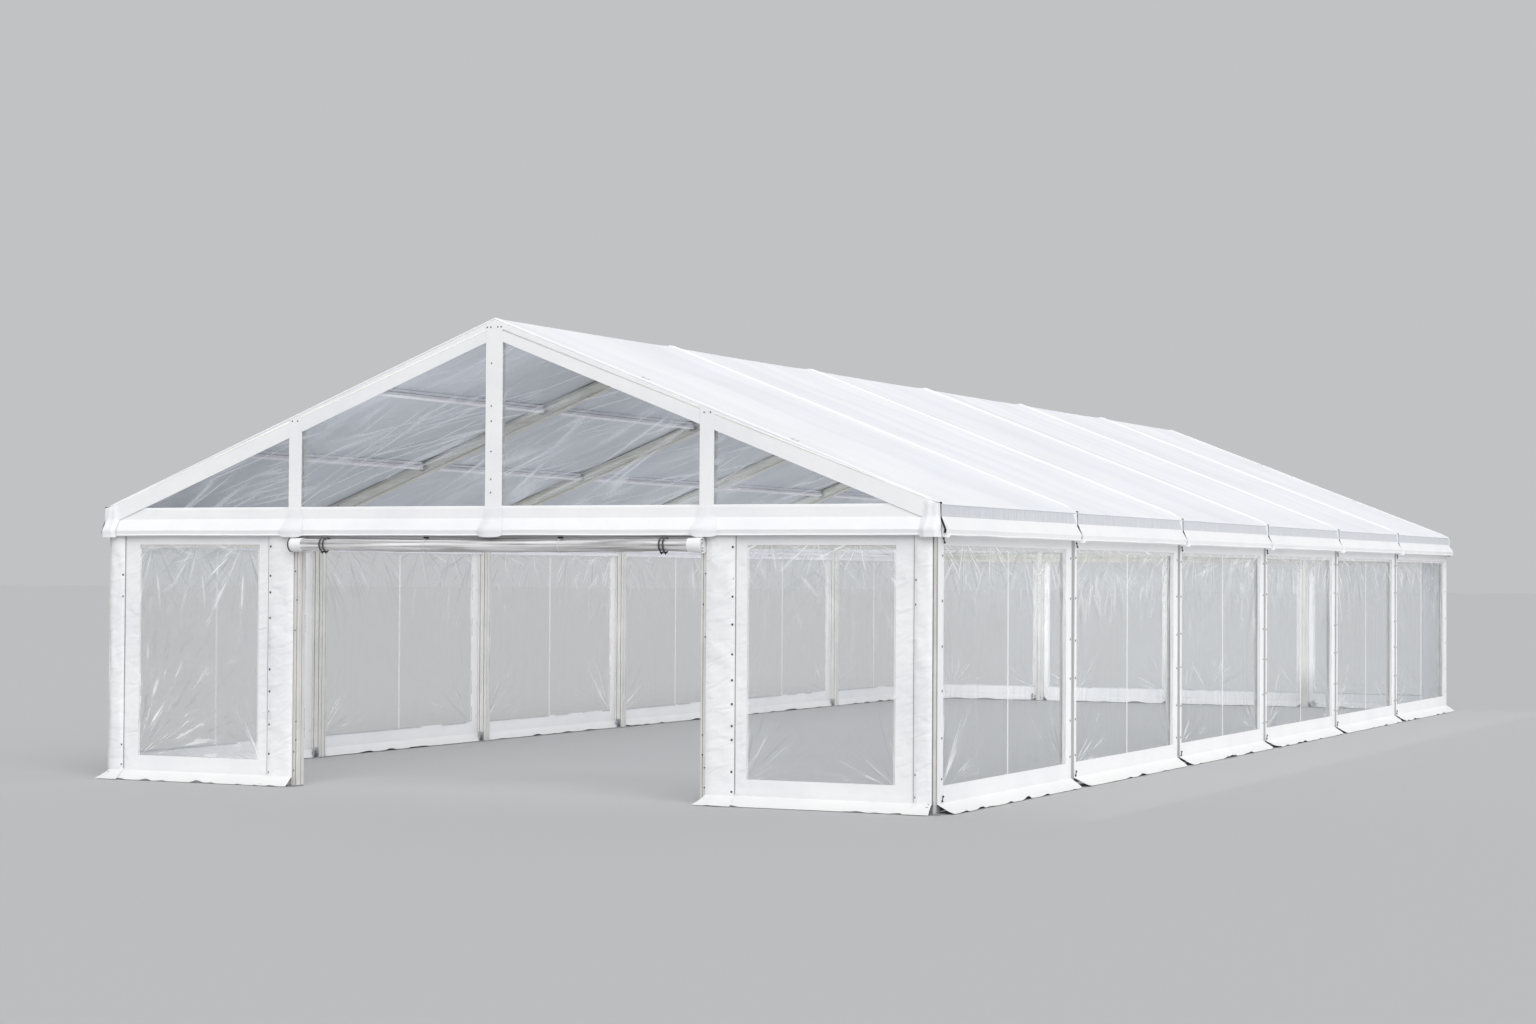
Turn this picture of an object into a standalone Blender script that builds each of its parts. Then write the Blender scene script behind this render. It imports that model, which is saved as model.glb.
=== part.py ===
"""Marquee tent: a clear-span marquee of aluminium portal frames with PVC covers.

Metres, +Z up. The origin is on the floor in the middle of the plan. +Y runs along the ridge,
from the gable with the doorway to the closed gable at the rear, and +X is to the right of
someone who looks along +Y. Every cover is a sheet that lies on the frame that carries it.
"""
import math

import bmesh
import bpy

# Plan and section
SPAN = 10.0            # over the outer faces of the wall legs
BAY = 4.0              # from one portal frame to the next
BAYS = 6
EAVE_Z = 3.03          # fold of the roof cover at the eave
RIDGE_Z = 5.0          # fold of the roof cover at the ridge
EAVE_OUT = 0.05        # eave fold beyond the legs

# Fits and sheet thicknesses
GAP = 0.0003           # between two pieces that touch
COVER = 0.002          # white PVC cover
CLEAR = 0.0015         # clear PVC sheet
WELD = 0.02            # clear sheet lapped behind the edge of its cover

# Portal frames
LEG_WIDE = 0.12        # along the wall
LEG_DEEP = 0.13        # into the hall
RAFTER_DEEP = 0.14     # square to the roof

# Base plates, flush with the inner face of their legs
PLATE_LONG = 0.30      # along the wall
PLATE_THICK = 0.012
PLATE_OUT = 0.06       # beyond the outer face of the leg
STAKE_BORE = 0.026     # two bores for ground stakes
STAKE_IN = 0.04        # from the plate's ends
STAKE_APART = 0.09     # of two bores at the same end
BORE_SIDES = 8

# Members that run the length of the roof
RIDGE_WIDE = 0.06
RIDGE_DEEP = 0.10
PURLIN_WIDE = 0.06     # along the slope
PURLIN_DEEP = 0.08
PURLINS_OUT = {"upper": 1.70, "lower": 3.40}    # from the ridge, level
EAVE_BEAM_WIDE = 0.06
EAVE_BEAM_DEEP = 0.12
EAVE_BEAM_Z = 2.58     # underside

# Gable frames
GABLE_LEG_AT = 2.5     # quarter legs, from the middle
GABLE_LEG_WIDE = 0.12
GABLE_BEAM_Z = 2.58    # underside
GABLE_BEAM_DEEP = 0.16
KING_POST_WIDE = 0.12

# Roof cover
COVER_APART = 0.003    # between the covers of two bays
VERGE_OUT = 0.02       # roof cover beyond the gable
VALANCE_BEND_Z = 2.90  # where the valance starts to flare
VALANCE_Z = 2.715      # hem of the valance
VALANCE_STEP = 0.005   # out at the bend
VALANCE_FLARE = 0.08   # out at the hem

# Wall covers
WALL_TOP_Z = 2.80
WINDOW_TOP_Z = 2.62
WINDOW_SILL_Z = 0.27
SKIRT_BEND_Z = 0.10
SKIRT_TIP_Z = 0.004
SKIRT_FLARE = 0.158
LEG_LAP = 0.005        # wall cover over each edge of a wall leg
SIDE_BORDER = 0.17     # white border at a wall leg
SEAM = 0.04            # weld in the middle of a side window
CORNER_BORDER = 0.345  # white border at a gable corner
JAMB_BORDER = 0.385    # white border beside the doorway
JAMB_LAP = 0.025       # wall cover over the edge of the leg beside the doorway
POST_BORDER = 0.30     # white strip over a gable upright in the rear wall

# Gable covers
RAFTER_BAND = 0.21     # white band under the roof, upright
KING_BAND = 0.20       # over the king post
QUARTER_BAND = 0.16    # over a quarter leg

# Door, rolled up under the valance
ROLL_RADIUS = 0.0775
ROLL_Z = 2.622
ROLL_SIDES = 20
DOOR_HEAD = 0.003      # flat stretch that hangs from the gable beam
DOOR_HEAD_Z = 2.73

LENGTH = BAY * BAYS
PITCH = math.atan2(RIDGE_Z - EAVE_Z, SPAN / 2 + EAVE_OUT)
LEG_FACE_X = SPAN / 2
GABLE_FACE_Y = LENGTH / 2 + LEG_WIDE / 2
RAFTER_TOP = COVER / 2 + GAP
CLEAR_OUT = GAP
COVER_OUT = CLEAR_OUT + CLEAR + GAP + COVER / 2
FRAME_YS = [BAY * number - LENGTH / 2 for number in range(BAYS + 1)]


def material(name, colour, roughness, metallic=0.0, alpha=1.0):
    """A Principled material."""
    made = bpy.data.materials.new(name)
    made.use_nodes = True
    shader = made.node_tree.nodes["Principled BSDF"]
    shader.inputs["Base Color"].default_value = (*colour, 1.0)
    shader.inputs["Roughness"].default_value = roughness
    shader.inputs["Metallic"].default_value = metallic
    shader.inputs["Alpha"].default_value = alpha
    return made


def add(name, mesh, finish, location=(0.0, 0.0, 0.0)):
    """One named object with its mesh, finish and place."""
    item = bpy.data.objects.new(name, mesh)
    item.location = location
    if not mesh.materials:
        mesh.materials.append(finish)
    bpy.context.collection.objects.link(item)
    return item


def roof_z(x):
    """Height of the roof cover over x."""
    return RIDGE_Z - abs(x) * math.tan(PITCH)


def under_roof(x, depth):
    """The point that lies depth under the right slope, square to it, from the roof over x."""
    return x - depth * math.sin(PITCH), roof_z(x) - depth * math.cos(PITCH)


def below_roof(x, depth):
    """Height straight below the roof over x, at a depth measured square to the slope."""
    return roof_z(x) - depth / math.cos(PITCH)


def mirrored(half):
    """An outline closed by the mirror image of its right half."""
    return half + [(-x, z) for x, z in reversed(half)]


def prism(name, outline, start, end, along="Y"):
    """A closed solid: an outline in the upright plane square to an axis, run along that axis."""
    shape = bmesh.new()
    if along == "Y":
        corners = [shape.verts.new((u, start, v)) for u, v in outline]
        run = (0.0, end - start, 0.0)
    else:
        corners = [shape.verts.new((start, u, v)) for u, v in outline]
        run = (end - start, 0.0, 0.0)
    face = shape.faces.new(corners)
    grown = bmesh.ops.extrude_face_region(shape, geom=[face])
    moved = [part for part in grown["geom"] if isinstance(part, bmesh.types.BMVert)]
    bmesh.ops.translate(shape, verts=moved, vec=run)
    bmesh.ops.recalc_face_normals(shape, faces=shape.faces)
    mesh = bpy.data.meshes.new(name)
    shape.to_mesh(mesh)
    shape.free()
    return mesh


def box(name, low, high):
    """A closed block between two corners."""
    outline = [(low[0], low[2]), (high[0], low[2]), (high[0], high[2]), (low[0], high[2])]
    return prism(name, outline, low[1], high[1])


def combined(name, base, tools, operation):
    """The mesh left when an EXACT Boolean puts some meshes on a base, or takes them off it."""
    body = bpy.data.objects.new(name, base)
    bpy.context.collection.objects.link(body)
    cutters = []
    for number, tool in enumerate(tools):
        cutter = bpy.data.objects.new(f"{name}_tool_{number}", tool)
        bpy.context.collection.objects.link(cutter)
        cutter.hide_render = True
        cutter.display_type = "WIRE"
        step = body.modifiers.new(f"tool_{number}", "BOOLEAN")
        step.operation = operation
        step.solver = "EXACT"
        step.object = cutter
        cutters.append(cutter)
    bpy.context.view_layer.update()
    graph = bpy.context.evaluated_depsgraph_get()
    result = bpy.data.meshes.new_from_object(body.evaluated_get(graph))
    for used in [body, *cutters]:
        bpy.data.objects.remove(used)
    result.name = name
    return result


def stake_bore(x, y):
    """A round cutter through a base plate."""
    shape = bmesh.new()
    bmesh.ops.create_cone(shape, cap_ends=True, segments=BORE_SIDES, radius1=STAKE_BORE / 2,
                          radius2=STAKE_BORE / 2, depth=4 * PLATE_THICK)
    bmesh.ops.translate(shape, verts=shape.verts, vec=(x, y, PLATE_THICK / 2))
    mesh = bpy.data.meshes.new("stake_bore")
    shape.to_mesh(mesh)
    shape.free()
    return mesh


def on_base_plates(name, frame, feet):
    """A frame on bored base plates, each foot given as (x range, y range, bores)."""
    plates = []
    bores = []
    for xs, ys, places in feet:
        low_x, high_x = sorted(xs)
        low_y, high_y = sorted(ys)
        plates.append(box("base_plate", (low_x, low_y, 0.0), (high_x, high_y, PLATE_THICK)))
        bores += [stake_bore(x, y) for x, y in places]
    standing = combined(name, frame, plates, "UNION")
    return combined(name, standing, bores, "DIFFERENCE")


def sheet(name, cells, thickness, finish):
    """A cover: flat cells that share their edges, made one closed sheet by Solidify."""
    places = {}
    faces = []
    for cell in cells:
        face = []
        for point in cell:
            key = tuple(round(value, 6) for value in point)
            index = places.setdefault(key, len(places))
            if index not in face:
                face.append(index)
        if len(face) > 2:
            faces.append(face)
    mesh = bpy.data.meshes.new(name)
    mesh.from_pydata(list(places), [], faces)
    item = add(name, mesh, finish)
    thicken = item.modifiers.new("thickness", "SOLIDIFY")
    thicken.thickness = thickness
    thicken.offset = 0.0
    thicken.use_even_offset = True
    return item


def grid_cells(place, columns, rows, holes):
    """Cells of a wall cover: columns along it, rows as (out, z), less the holes (column, row)."""
    cells = []
    for column in range(len(columns) - 1):
        left, right = columns[column], columns[column + 1]
        for row in range(len(rows) - 1):
            if (column, row) not in holes:
                low, high = rows[row], rows[row + 1]
                cells.append([place(left, *low), place(right, *low),
                              place(right, *high), place(left, *high)])
    return cells


def wall_place(wall):
    """How a point of a wall, along it and out from its legs, lies in the tent."""
    if wall in ("left", "right"):
        sign = 1 if wall == "right" else -1
        return lambda along, out, z: (sign * (LEG_FACE_X + COVER_OUT + out), along, z)
    sign = 1 if wall == "rear" else -1
    return lambda along, out, z: (along, sign * (GABLE_FACE_Y + COVER_OUT + out), z)


def portal_outline():
    """Legs and rafters in one outline, notched for the members that run along the roof."""
    notch = RIDGE_WIDE / 2 + GAP
    half = [(notch, ridge_underside() - GAP), (notch, below_roof(notch, RAFTER_TOP))]
    reach = (PURLIN_WIDE / 2 + GAP) * math.cos(PITCH)
    for out in PURLINS_OUT.values():
        half += [under_roof(out - reach, RAFTER_TOP),
                 under_roof(out - reach, RAFTER_TOP + PURLIN_DEEP + 2 * GAP),
                 under_roof(out + reach, RAFTER_TOP + PURLIN_DEEP + 2 * GAP),
                 under_roof(out + reach, RAFTER_TOP)]
    inner_x = LEG_FACE_X - LEG_DEEP
    beam_x = LEG_FACE_X - EAVE_BEAM_WIDE - 2 * GAP
    beam_low, beam_high = EAVE_BEAM_Z - GAP, EAVE_BEAM_Z + EAVE_BEAM_DEEP + GAP
    underside = RAFTER_TOP + RAFTER_DEEP
    half += [(LEG_FACE_X, below_roof(LEG_FACE_X, RAFTER_TOP)),
             (LEG_FACE_X, beam_high), (beam_x, beam_high),
             (beam_x, beam_low), (LEG_FACE_X, beam_low),
             (LEG_FACE_X, PLATE_THICK / 2), (inner_x, PLATE_THICK / 2),
             (inner_x, below_roof(inner_x, underside)), (0.0, below_roof(0.0, underside))]
    left = [(-x, z) for x, z in reversed(half[:-1])]
    return half + left


def ridge_underside():
    """Height of the underside of the ridge purlin."""
    return below_roof(RIDGE_WIDE / 2, RAFTER_TOP) - RIDGE_DEEP


def portal_frames(finish):
    """The seven portal frames, each with its two base plates."""
    frame = prism("portal_frame", portal_outline(), -LEG_WIDE / 2, LEG_WIDE / 2)
    feet = []
    for side in (-1, 1):
        bore_x = side * (LEG_FACE_X - LEG_DEEP / 2)
        bore_y = PLATE_LONG / 2 - STAKE_IN
        feet.append(((side * (LEG_FACE_X - LEG_DEEP), side * (LEG_FACE_X + PLATE_OUT)),
                     (-PLATE_LONG / 2, PLATE_LONG / 2), [(bore_x, -bore_y), (bore_x, bore_y)]))
    mesh = on_base_plates("portal_frame", frame, feet)
    for number, y in enumerate(FRAME_YS, start=1):
        add(f"portal_frame_{number}", mesh, finish, (0.0, y, 0.0))


def long_members(finish):
    """Ridge purlin, roof purlins and eave beams, which lie in the notches of the frames."""
    low = ridge_underside()
    half = RIDGE_WIDE / 2
    section = [(-half, low), (half, low), (half, low + RIDGE_DEEP), (-half, low + RIDGE_DEEP)]
    add("ridge_purlin", prism("ridge_purlin", section, -GABLE_FACE_Y, GABLE_FACE_Y), finish)
    reach = PURLIN_WIDE / 2 * math.cos(PITCH)
    top = RAFTER_TOP + GAP
    for level, out in PURLINS_OUT.items():
        right = [under_roof(out - reach, top), under_roof(out - reach, top + PURLIN_DEEP),
                 under_roof(out + reach, top + PURLIN_DEEP), under_roof(out + reach, top)]
        for side, sign in (("left", -1), ("right", 1)):
            section = [(sign * x, z) for x, z in right]
            name = f"roof_purlin_{side}_{level}"
            add(name, prism(name, section, -GABLE_FACE_Y, GABLE_FACE_Y), finish)
    outer = LEG_FACE_X - GAP
    for side, sign in (("left", -1), ("right", 1)):
        across = sorted((sign * outer, sign * (outer - EAVE_BEAM_WIDE)))
        low = (across[0], -GABLE_FACE_Y, EAVE_BEAM_Z)
        high = (across[1], GABLE_FACE_Y, EAVE_BEAM_Z + EAVE_BEAM_DEEP)
        add(f"eave_beam_{side}", box(f"eave_beam_{side}", low, high), finish)


def gable_outline(middle_leg):
    """Gable beam with the uprights that it holds, from the floor or the beam to the rafters."""
    beam_low, beam_high = GABLE_BEAM_Z, GABLE_BEAM_Z + GABLE_BEAM_DEEP
    under = RAFTER_TOP + RAFTER_DEEP + GAP
    foot = PLATE_THICK / 2
    post = KING_POST_WIDE / 2
    near, far = GABLE_LEG_AT - GABLE_LEG_WIDE / 2, GABLE_LEG_AT + GABLE_LEG_WIDE / 2
    end = LEG_FACE_X - LEG_DEEP - GAP
    half = [(post, below_roof(post, under)), (post, beam_high),
            (near, beam_high), (near, below_roof(near, under)),
            (far, below_roof(far, under)), (far, beam_high),
            (end, beam_high), (end, beam_low),
            (far, beam_low), (far, foot), (near, foot), (near, beam_low)]
    if middle_leg:
        half += [(post, beam_low), (post, foot)]
    return mirrored(half)


def gable_frames(finish):
    """The gable with the doorway, and the rear one, whose middle upright is a leg too."""
    for end, sign, middle_leg in (("front", -1, False), ("rear", 1, True)):
        name = f"{end}_gable_frame"
        middle = sign * LENGTH / 2
        frame = prism(name, gable_outline(middle_leg), middle - LEG_WIDE / 2,
                      middle + LEG_WIDE / 2)
        ys = (sign * (GABLE_FACE_Y - LEG_WIDE), sign * (GABLE_FACE_Y + PLATE_OUT))
        near = GABLE_LEG_AT - GABLE_LEG_WIDE / 2
        bore_x = near + PLATE_LONG - STAKE_IN
        feet = [((side * near, side * (near + PLATE_LONG)), ys,
                 [(side * bore_x, middle - STAKE_APART / 2),
                  (side * bore_x, middle + STAKE_APART / 2)]) for side in (-1, 1)]
        if middle_leg:
            bore_x = PLATE_LONG / 2 - STAKE_IN
            feet.append(((-PLATE_LONG / 2, PLATE_LONG / 2), ys,
                         [(-bore_x, middle), (bore_x, middle)]))
        add(name, on_base_plates(name, frame, feet), finish)


def roof_covers(finish):
    """One cover a bay, over the ridge from eave to eave, with its two valances."""
    eave_x = LEG_FACE_X + EAVE_OUT
    half = [(0.0, RIDGE_Z), (eave_x, EAVE_Z), (eave_x + VALANCE_STEP, VALANCE_BEND_Z),
            (eave_x + VALANCE_FLARE, VALANCE_Z)]
    section = [(-x, z) for x, z in reversed(half[1:])] + half
    last = len(FRAME_YS) - 2
    for number, (start, end) in enumerate(zip(FRAME_YS, FRAME_YS[1:])):
        y_low = start + COVER_APART / 2
        y_high = end - COVER_APART / 2
        if number == 0:
            y_low = -GABLE_FACE_Y - COVER_OUT - VERGE_OUT
        if number == last:
            y_high = GABLE_FACE_Y + COVER_OUT + VERGE_OUT
        cells = [[(x, y_low, z), (x, y_high, z), (next_x, y_high, next_z), (next_x, y_low, next_z)]
                 for (x, z), (next_x, next_z) in zip(section, section[1:])]
        sheet(f"roof_cover_bay_{number + 1}", cells, COVER, finish)


def wall_rows():
    """Heights of a wall cover from the skirt's tip to the top, as (out, z)."""
    return [(SKIRT_FLARE, SKIRT_TIP_Z), (0.0, SKIRT_BEND_Z), (0.0, WINDOW_SILL_Z),
            (0.0, WINDOW_TOP_Z), (0.0, WALL_TOP_Z)]


def clear_sheet(name, wall, start, end, finish):
    """The clear sheet behind the windows of a wall, between two places along it."""
    low_out, high_out = CLEAR_OUT, CLEAR_OUT + CLEAR
    bottom, top = WINDOW_SILL_Z - WELD, WINDOW_TOP_Z + WELD
    if wall in ("left", "right"):
        sign = 1 if wall == "right" else -1
        across = sorted((sign * (LEG_FACE_X + low_out), sign * (LEG_FACE_X + high_out)))
        mesh = box(name, (across[0], start, bottom), (across[1], end, top))
    else:
        sign = 1 if wall == "rear" else -1
        depth = sorted((sign * (GABLE_FACE_Y + low_out), sign * (GABLE_FACE_Y + high_out)))
        mesh = box(name, (start, depth[0], bottom), (end, depth[1], top))
    add(name, mesh, finish)


def side_walls(white, clear):
    """Six window covers a side, and the clear sheet that closes their windows."""
    edge = LEG_WIDE / 2 - LEG_LAP
    for wall in ("left", "right"):
        place = wall_place(wall)
        for number, (start, end) in enumerate(zip(FRAME_YS, FRAME_YS[1:]), start=1):
            middle = (start + end) / 2
            columns = [start + edge, start + edge + SIDE_BORDER, middle - SEAM / 2,
                       middle + SEAM / 2, end - edge - SIDE_BORDER, end - edge]
            cells = grid_cells(place, columns, wall_rows(), {(1, 2), (3, 2)})
            sheet(f"{wall}_wall_bay_{number}", cells, COVER, white)
        inset = edge + SIDE_BORDER - WELD
        clear_sheet(f"{wall}_wall_windows", wall, FRAME_YS[0] + inset, FRAME_YS[-1] - inset, clear)


def front_walls(white, clear):
    """A window cover each side of the doorway, from the corner to the quarter leg."""
    corner = LEG_FACE_X
    jamb = GABLE_LEG_AT + GABLE_LEG_WIDE / 2 - JAMB_LAP
    for side, sign in (("left", -1), ("right", 1)):
        columns = sorted(sign * x for x in (corner, corner - CORNER_BORDER,
                                            jamb + JAMB_BORDER, jamb))
        cells = grid_cells(wall_place("front"), columns, wall_rows(), {(1, 2)})
        sheet(f"front_wall_{side}", cells, COVER, white)
        clear_sheet(f"front_window_{side}", "front", columns[1] - WELD, columns[2] + WELD, clear)


def rear_wall(white, clear):
    """The closed rear wall: one cover with a window between each two uprights."""
    half = POST_BORDER / 2
    right = [half, GABLE_LEG_AT - half, GABLE_LEG_AT + half,
             LEG_FACE_X - CORNER_BORDER, LEG_FACE_X]
    columns = [-x for x in reversed(right)] + right
    holes = {(column, 2) for column in (1, 3, 5, 7)}
    sheet("rear_wall", grid_cells(wall_place("rear"), columns, wall_rows(), holes), COVER, white)
    reach = LEG_FACE_X - CORNER_BORDER + WELD
    clear_sheet("rear_wall_windows", "rear", -reach, reach, clear)


def gable_covers(white, clear):
    """White gable covers with four clear windows and a valance, and the clear sheet behind."""
    tip = (RIDGE_Z - RAFTER_BAND - EAVE_Z) / math.tan(PITCH)
    quarter = QUARTER_BAND / 2
    right = [KING_BAND / 2, GABLE_LEG_AT - quarter, GABLE_LEG_AT + quarter, tip, LEG_FACE_X]
    columns = [-x for x in reversed(right)] + [0.0] + right
    windows = {(1, 3), (3, 3), (6, 3), (8, 3)}
    lap_tip = (RIDGE_Z - RAFTER_BAND - EAVE_Z + 2 * WELD) / math.tan(PITCH)
    lap = [(-lap_tip, EAVE_Z - WELD), (lap_tip, EAVE_Z - WELD),
           (0.0, RIDGE_Z - RAFTER_BAND + WELD)]
    for end, sign in (("front", -1), ("rear", 1)):
        place = wall_place(end)
        cells = []
        levels = [gable_levels(x) for x in columns]
        for column in range(len(columns) - 1):
            left, right_x = columns[column], columns[column + 1]
            for row in range(len(levels[0]) - 1):
                if (column, row) not in windows:
                    cells.append([place(left, *levels[column][row]),
                                  place(right_x, *levels[column + 1][row]),
                                  place(right_x, *levels[column + 1][row + 1]),
                                  place(left, *levels[column][row + 1])])
        sheet(f"{end}_gable_cover", cells, COVER, white)
        depth = sorted((sign * (GABLE_FACE_Y + CLEAR_OUT), sign * (GABLE_FACE_Y + CLEAR_OUT + CLEAR)))
        add(f"{end}_gable_windows", prism(f"{end}_gable_windows", lap, *depth), clear)


def gable_levels(x):
    """Rows of a gable cover over x, as (out, z), from the valance's hem up to the roof."""
    window_top = max(EAVE_Z, roof_z(x) - RAFTER_BAND)
    return [(VALANCE_FLARE, VALANCE_Z), (VALANCE_STEP, VALANCE_BEND_Z), (0.0, EAVE_Z),
            (0.0, EAVE_Z), (0.0, window_top), (0.0, below_roof(x, RAFTER_TOP))]


def rolled_door(finish):
    """The clear door rolled up under the valance, hung by its head from the gable beam."""
    back = -GABLE_FACE_Y - GAP
    centre = back - ROLL_RADIUS
    start = math.acos((ROLL_RADIUS - DOOR_HEAD) / ROLL_RADIUS)
    turn = (2 * math.pi - start) / ROLL_SIDES
    outline = [(back - DOOR_HEAD, DOOR_HEAD_Z)]
    for step in range(ROLL_SIDES + 1):
        angle = start + turn * step
        outline.append((centre + ROLL_RADIUS * math.cos(angle),
                        ROLL_Z + ROLL_RADIUS * math.sin(angle)))
    outline.append((back, DOOR_HEAD_Z))
    mesh = prism("rolled_door", outline, -GABLE_LEG_AT, GABLE_LEG_AT, along="X")
    mesh.shade_smooth()
    mesh.set_sharp_from_angle(angle=math.radians(30))
    add("rolled_door", mesh, finish)


def main():
    for item in list(bpy.data.objects):
        bpy.data.objects.remove(item)
    aluminium = material("anodised_aluminium", (0.62, 0.62, 0.60), 0.42, metallic=1.0)
    white = material("white_pvc", (0.86, 0.87, 0.89), 0.45)
    clear = material("clear_pvc", (0.80, 0.84, 0.85), 0.12, alpha=0.3)
    portal_frames(aluminium)
    long_members(aluminium)
    gable_frames(aluminium)
    roof_covers(white)
    side_walls(white, clear)
    front_walls(white, clear)
    rear_wall(white, clear)
    gable_covers(white, clear)
    rolled_door(clear)


main()
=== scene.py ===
# %% [markdown]
# # A clear-span marquee, dressed in Blender
# The imported model gives every piece its place: aluminium portal frames 4 m apart, white covers
# that slide between them, clear window walls and a door rolled up in the gable. This lesson
# dresses that frame. Metal is modelled as it is extruded, a section with channels that is run
# along its length, and cloth as it hangs, a grid whose points are moved by rules.

# %% Load the frame
import math

import bpy
from mathutils import Matrix, Vector, noise


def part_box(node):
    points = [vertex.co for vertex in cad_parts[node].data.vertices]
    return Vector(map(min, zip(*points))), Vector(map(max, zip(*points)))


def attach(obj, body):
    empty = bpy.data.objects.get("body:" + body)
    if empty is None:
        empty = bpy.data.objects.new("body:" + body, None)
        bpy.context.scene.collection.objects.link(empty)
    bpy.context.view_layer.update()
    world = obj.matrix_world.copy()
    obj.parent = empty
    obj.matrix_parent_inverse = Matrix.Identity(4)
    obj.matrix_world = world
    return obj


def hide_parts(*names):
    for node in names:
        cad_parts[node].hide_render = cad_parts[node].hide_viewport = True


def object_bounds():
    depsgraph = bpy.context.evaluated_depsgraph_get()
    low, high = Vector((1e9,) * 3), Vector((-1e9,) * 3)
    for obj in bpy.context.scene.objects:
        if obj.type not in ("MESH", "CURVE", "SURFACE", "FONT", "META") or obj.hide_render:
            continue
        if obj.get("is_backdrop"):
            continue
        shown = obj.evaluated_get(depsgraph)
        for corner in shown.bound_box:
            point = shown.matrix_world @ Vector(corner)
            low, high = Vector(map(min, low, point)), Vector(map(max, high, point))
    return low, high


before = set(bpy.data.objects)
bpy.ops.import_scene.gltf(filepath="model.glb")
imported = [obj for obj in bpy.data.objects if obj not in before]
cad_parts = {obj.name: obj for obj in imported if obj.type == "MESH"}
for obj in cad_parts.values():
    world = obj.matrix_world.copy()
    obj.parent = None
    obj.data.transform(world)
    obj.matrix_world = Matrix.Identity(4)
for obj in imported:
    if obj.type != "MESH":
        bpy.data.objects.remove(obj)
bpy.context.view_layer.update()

# %% [markdown]
# ## Sizes
# What the frame can tell is read from it: where the portal frames stand, how far out the legs
# reach, how high the ridge is. The rest are the sizes of the real stock: a leg is 120 by 130 mm,
# a cover is drawn 2 mm thick, so that its edges show, and a valance falls about 330 mm.

# %% Sizes, in metres
BAYS = 6
ENDS = ((-1, "front"), (1, "rear"))
SIDES = ((-1, "left"), (1, "right"))


def middle(node, axis):
    """The middle of a CAD node along an axis."""
    low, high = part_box(node)
    return (low[axis] + high[axis]) / 2


FRAME_YS = [round(middle(f"portal_frame_{number}", 1), 3) for number in range(1, BAYS + 2)]
BAY = FRAME_YS[1] - FRAME_YS[0]
FACE_X = round(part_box("eave_beam_right")[1].x, 3)
FACE_Y = round(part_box("ridge_purlin")[1].y, 3)
RIDGE_Z = round(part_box("roof_cover_bay_2")[1].z, 2)
EAVE_OUT, EAVE_Z = 0.05, 3.03
EAVE_X = FACE_X + EAVE_OUT
PITCH = math.atan2(RIDGE_Z - EAVE_Z, EAVE_X)
SLOPE = Vector((math.cos(PITCH), 0, -math.sin(PITCH)))
OUT_OF_ROOF = Vector((math.sin(PITCH), 0, math.cos(PITCH)))

LEG_WIDE, LEG_DEEP, RAFTER_DEEP = 0.12, 0.13, 0.14
PLATE_THICK, PLATE_LONG = 0.012, 0.30
BEAM_Z, BEAM_DEEP = 2.58, 0.16
QUARTER_X = 2.5
PURLINS_X = {"upper": 1.70, "lower": 3.40}
COVER_OUT, FILM_OUT = 0.0031, 0.00105
COVER = 0.002
print("bay", BAY, "face", FACE_X, FACE_Y, "ridge", RIDGE_Z, "pitch", round(math.degrees(PITCH), 2))


def roof_z(x):
    """Height of the roof cover over x."""
    return RIDGE_Z - abs(x) * math.tan(PITCH)


def under_roof(x, depth):
    """The point that lies depth under the right slope, square to it, from the roof over x."""
    return Vector((x, 0, roof_z(x))) - OUT_OF_ROOF * depth


# %% [markdown]
# ## Camera
# The photograph was taken from eye height, right of the doorway, with a short telephoto. The
# camera stands where the lines of the roof and the feet of the legs meet the picture best. Its
# axes are worked out from the yaw, pitch and roll of that fit and handed over as a matrix.

# %% Camera
CAMERA_AT = Vector((15.110, -37.436, 2.331))
YAW, PITCH_UP, ROLL = (math.radians(angle) for angle in (-25.174, 1.267, 0.324))
FOCAL_PX, FRAME_PX = 2799.5, 1536

forward = Vector((math.sin(YAW) * math.cos(PITCH_UP), math.cos(YAW) * math.cos(PITCH_UP),
                  math.sin(PITCH_UP)))
level = Vector((math.cos(YAW), -math.sin(YAW), 0))
upward = level.cross(forward)
right = level * math.cos(ROLL) + upward * math.sin(ROLL)
up = upward * math.cos(ROLL) - level * math.sin(ROLL)
lens = bpy.data.cameras.new("camera")
lens.sensor_width = 36
lens.lens = FOCAL_PX / FRAME_PX * lens.sensor_width
lens.clip_start, lens.clip_end = 0.5, 2000
camera = bpy.data.objects.new("camera", lens)
turn = Matrix((right, up, -forward)).transposed().to_4x4()
camera.matrix_world = Matrix.Translation(CAMERA_AT) @ turn
bpy.context.scene.collection.objects.link(camera)
bpy.context.scene.camera = camera
print("camera lens", round(lens.lens, 2), "mm")

# %% [markdown]
# ## Tools for the bench
# Blender's operators act on what is selected, so each helper starts by deselecting everything.
# Faces are picked in code by where they lie, and then an operator acts on them in edit mode, as
# a hand would.

# %% Bench tools
ROUND = math.radians(40)


def deselect():
    """Object mode with nothing selected."""
    if bpy.context.object and bpy.context.object.mode == "EDIT":
        bpy.ops.object.mode_set(mode="OBJECT")
    bpy.ops.object.select_all(action="DESELECT")


def take(piece):
    """Only this piece selected and active."""
    deselect()
    piece.select_set(True)
    bpy.context.view_layer.objects.active = piece


def named(name):
    """The piece that an operator has just made, under its own name."""
    piece = bpy.context.active_object
    piece.name = name
    piece.data.name = name
    return piece


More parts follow.
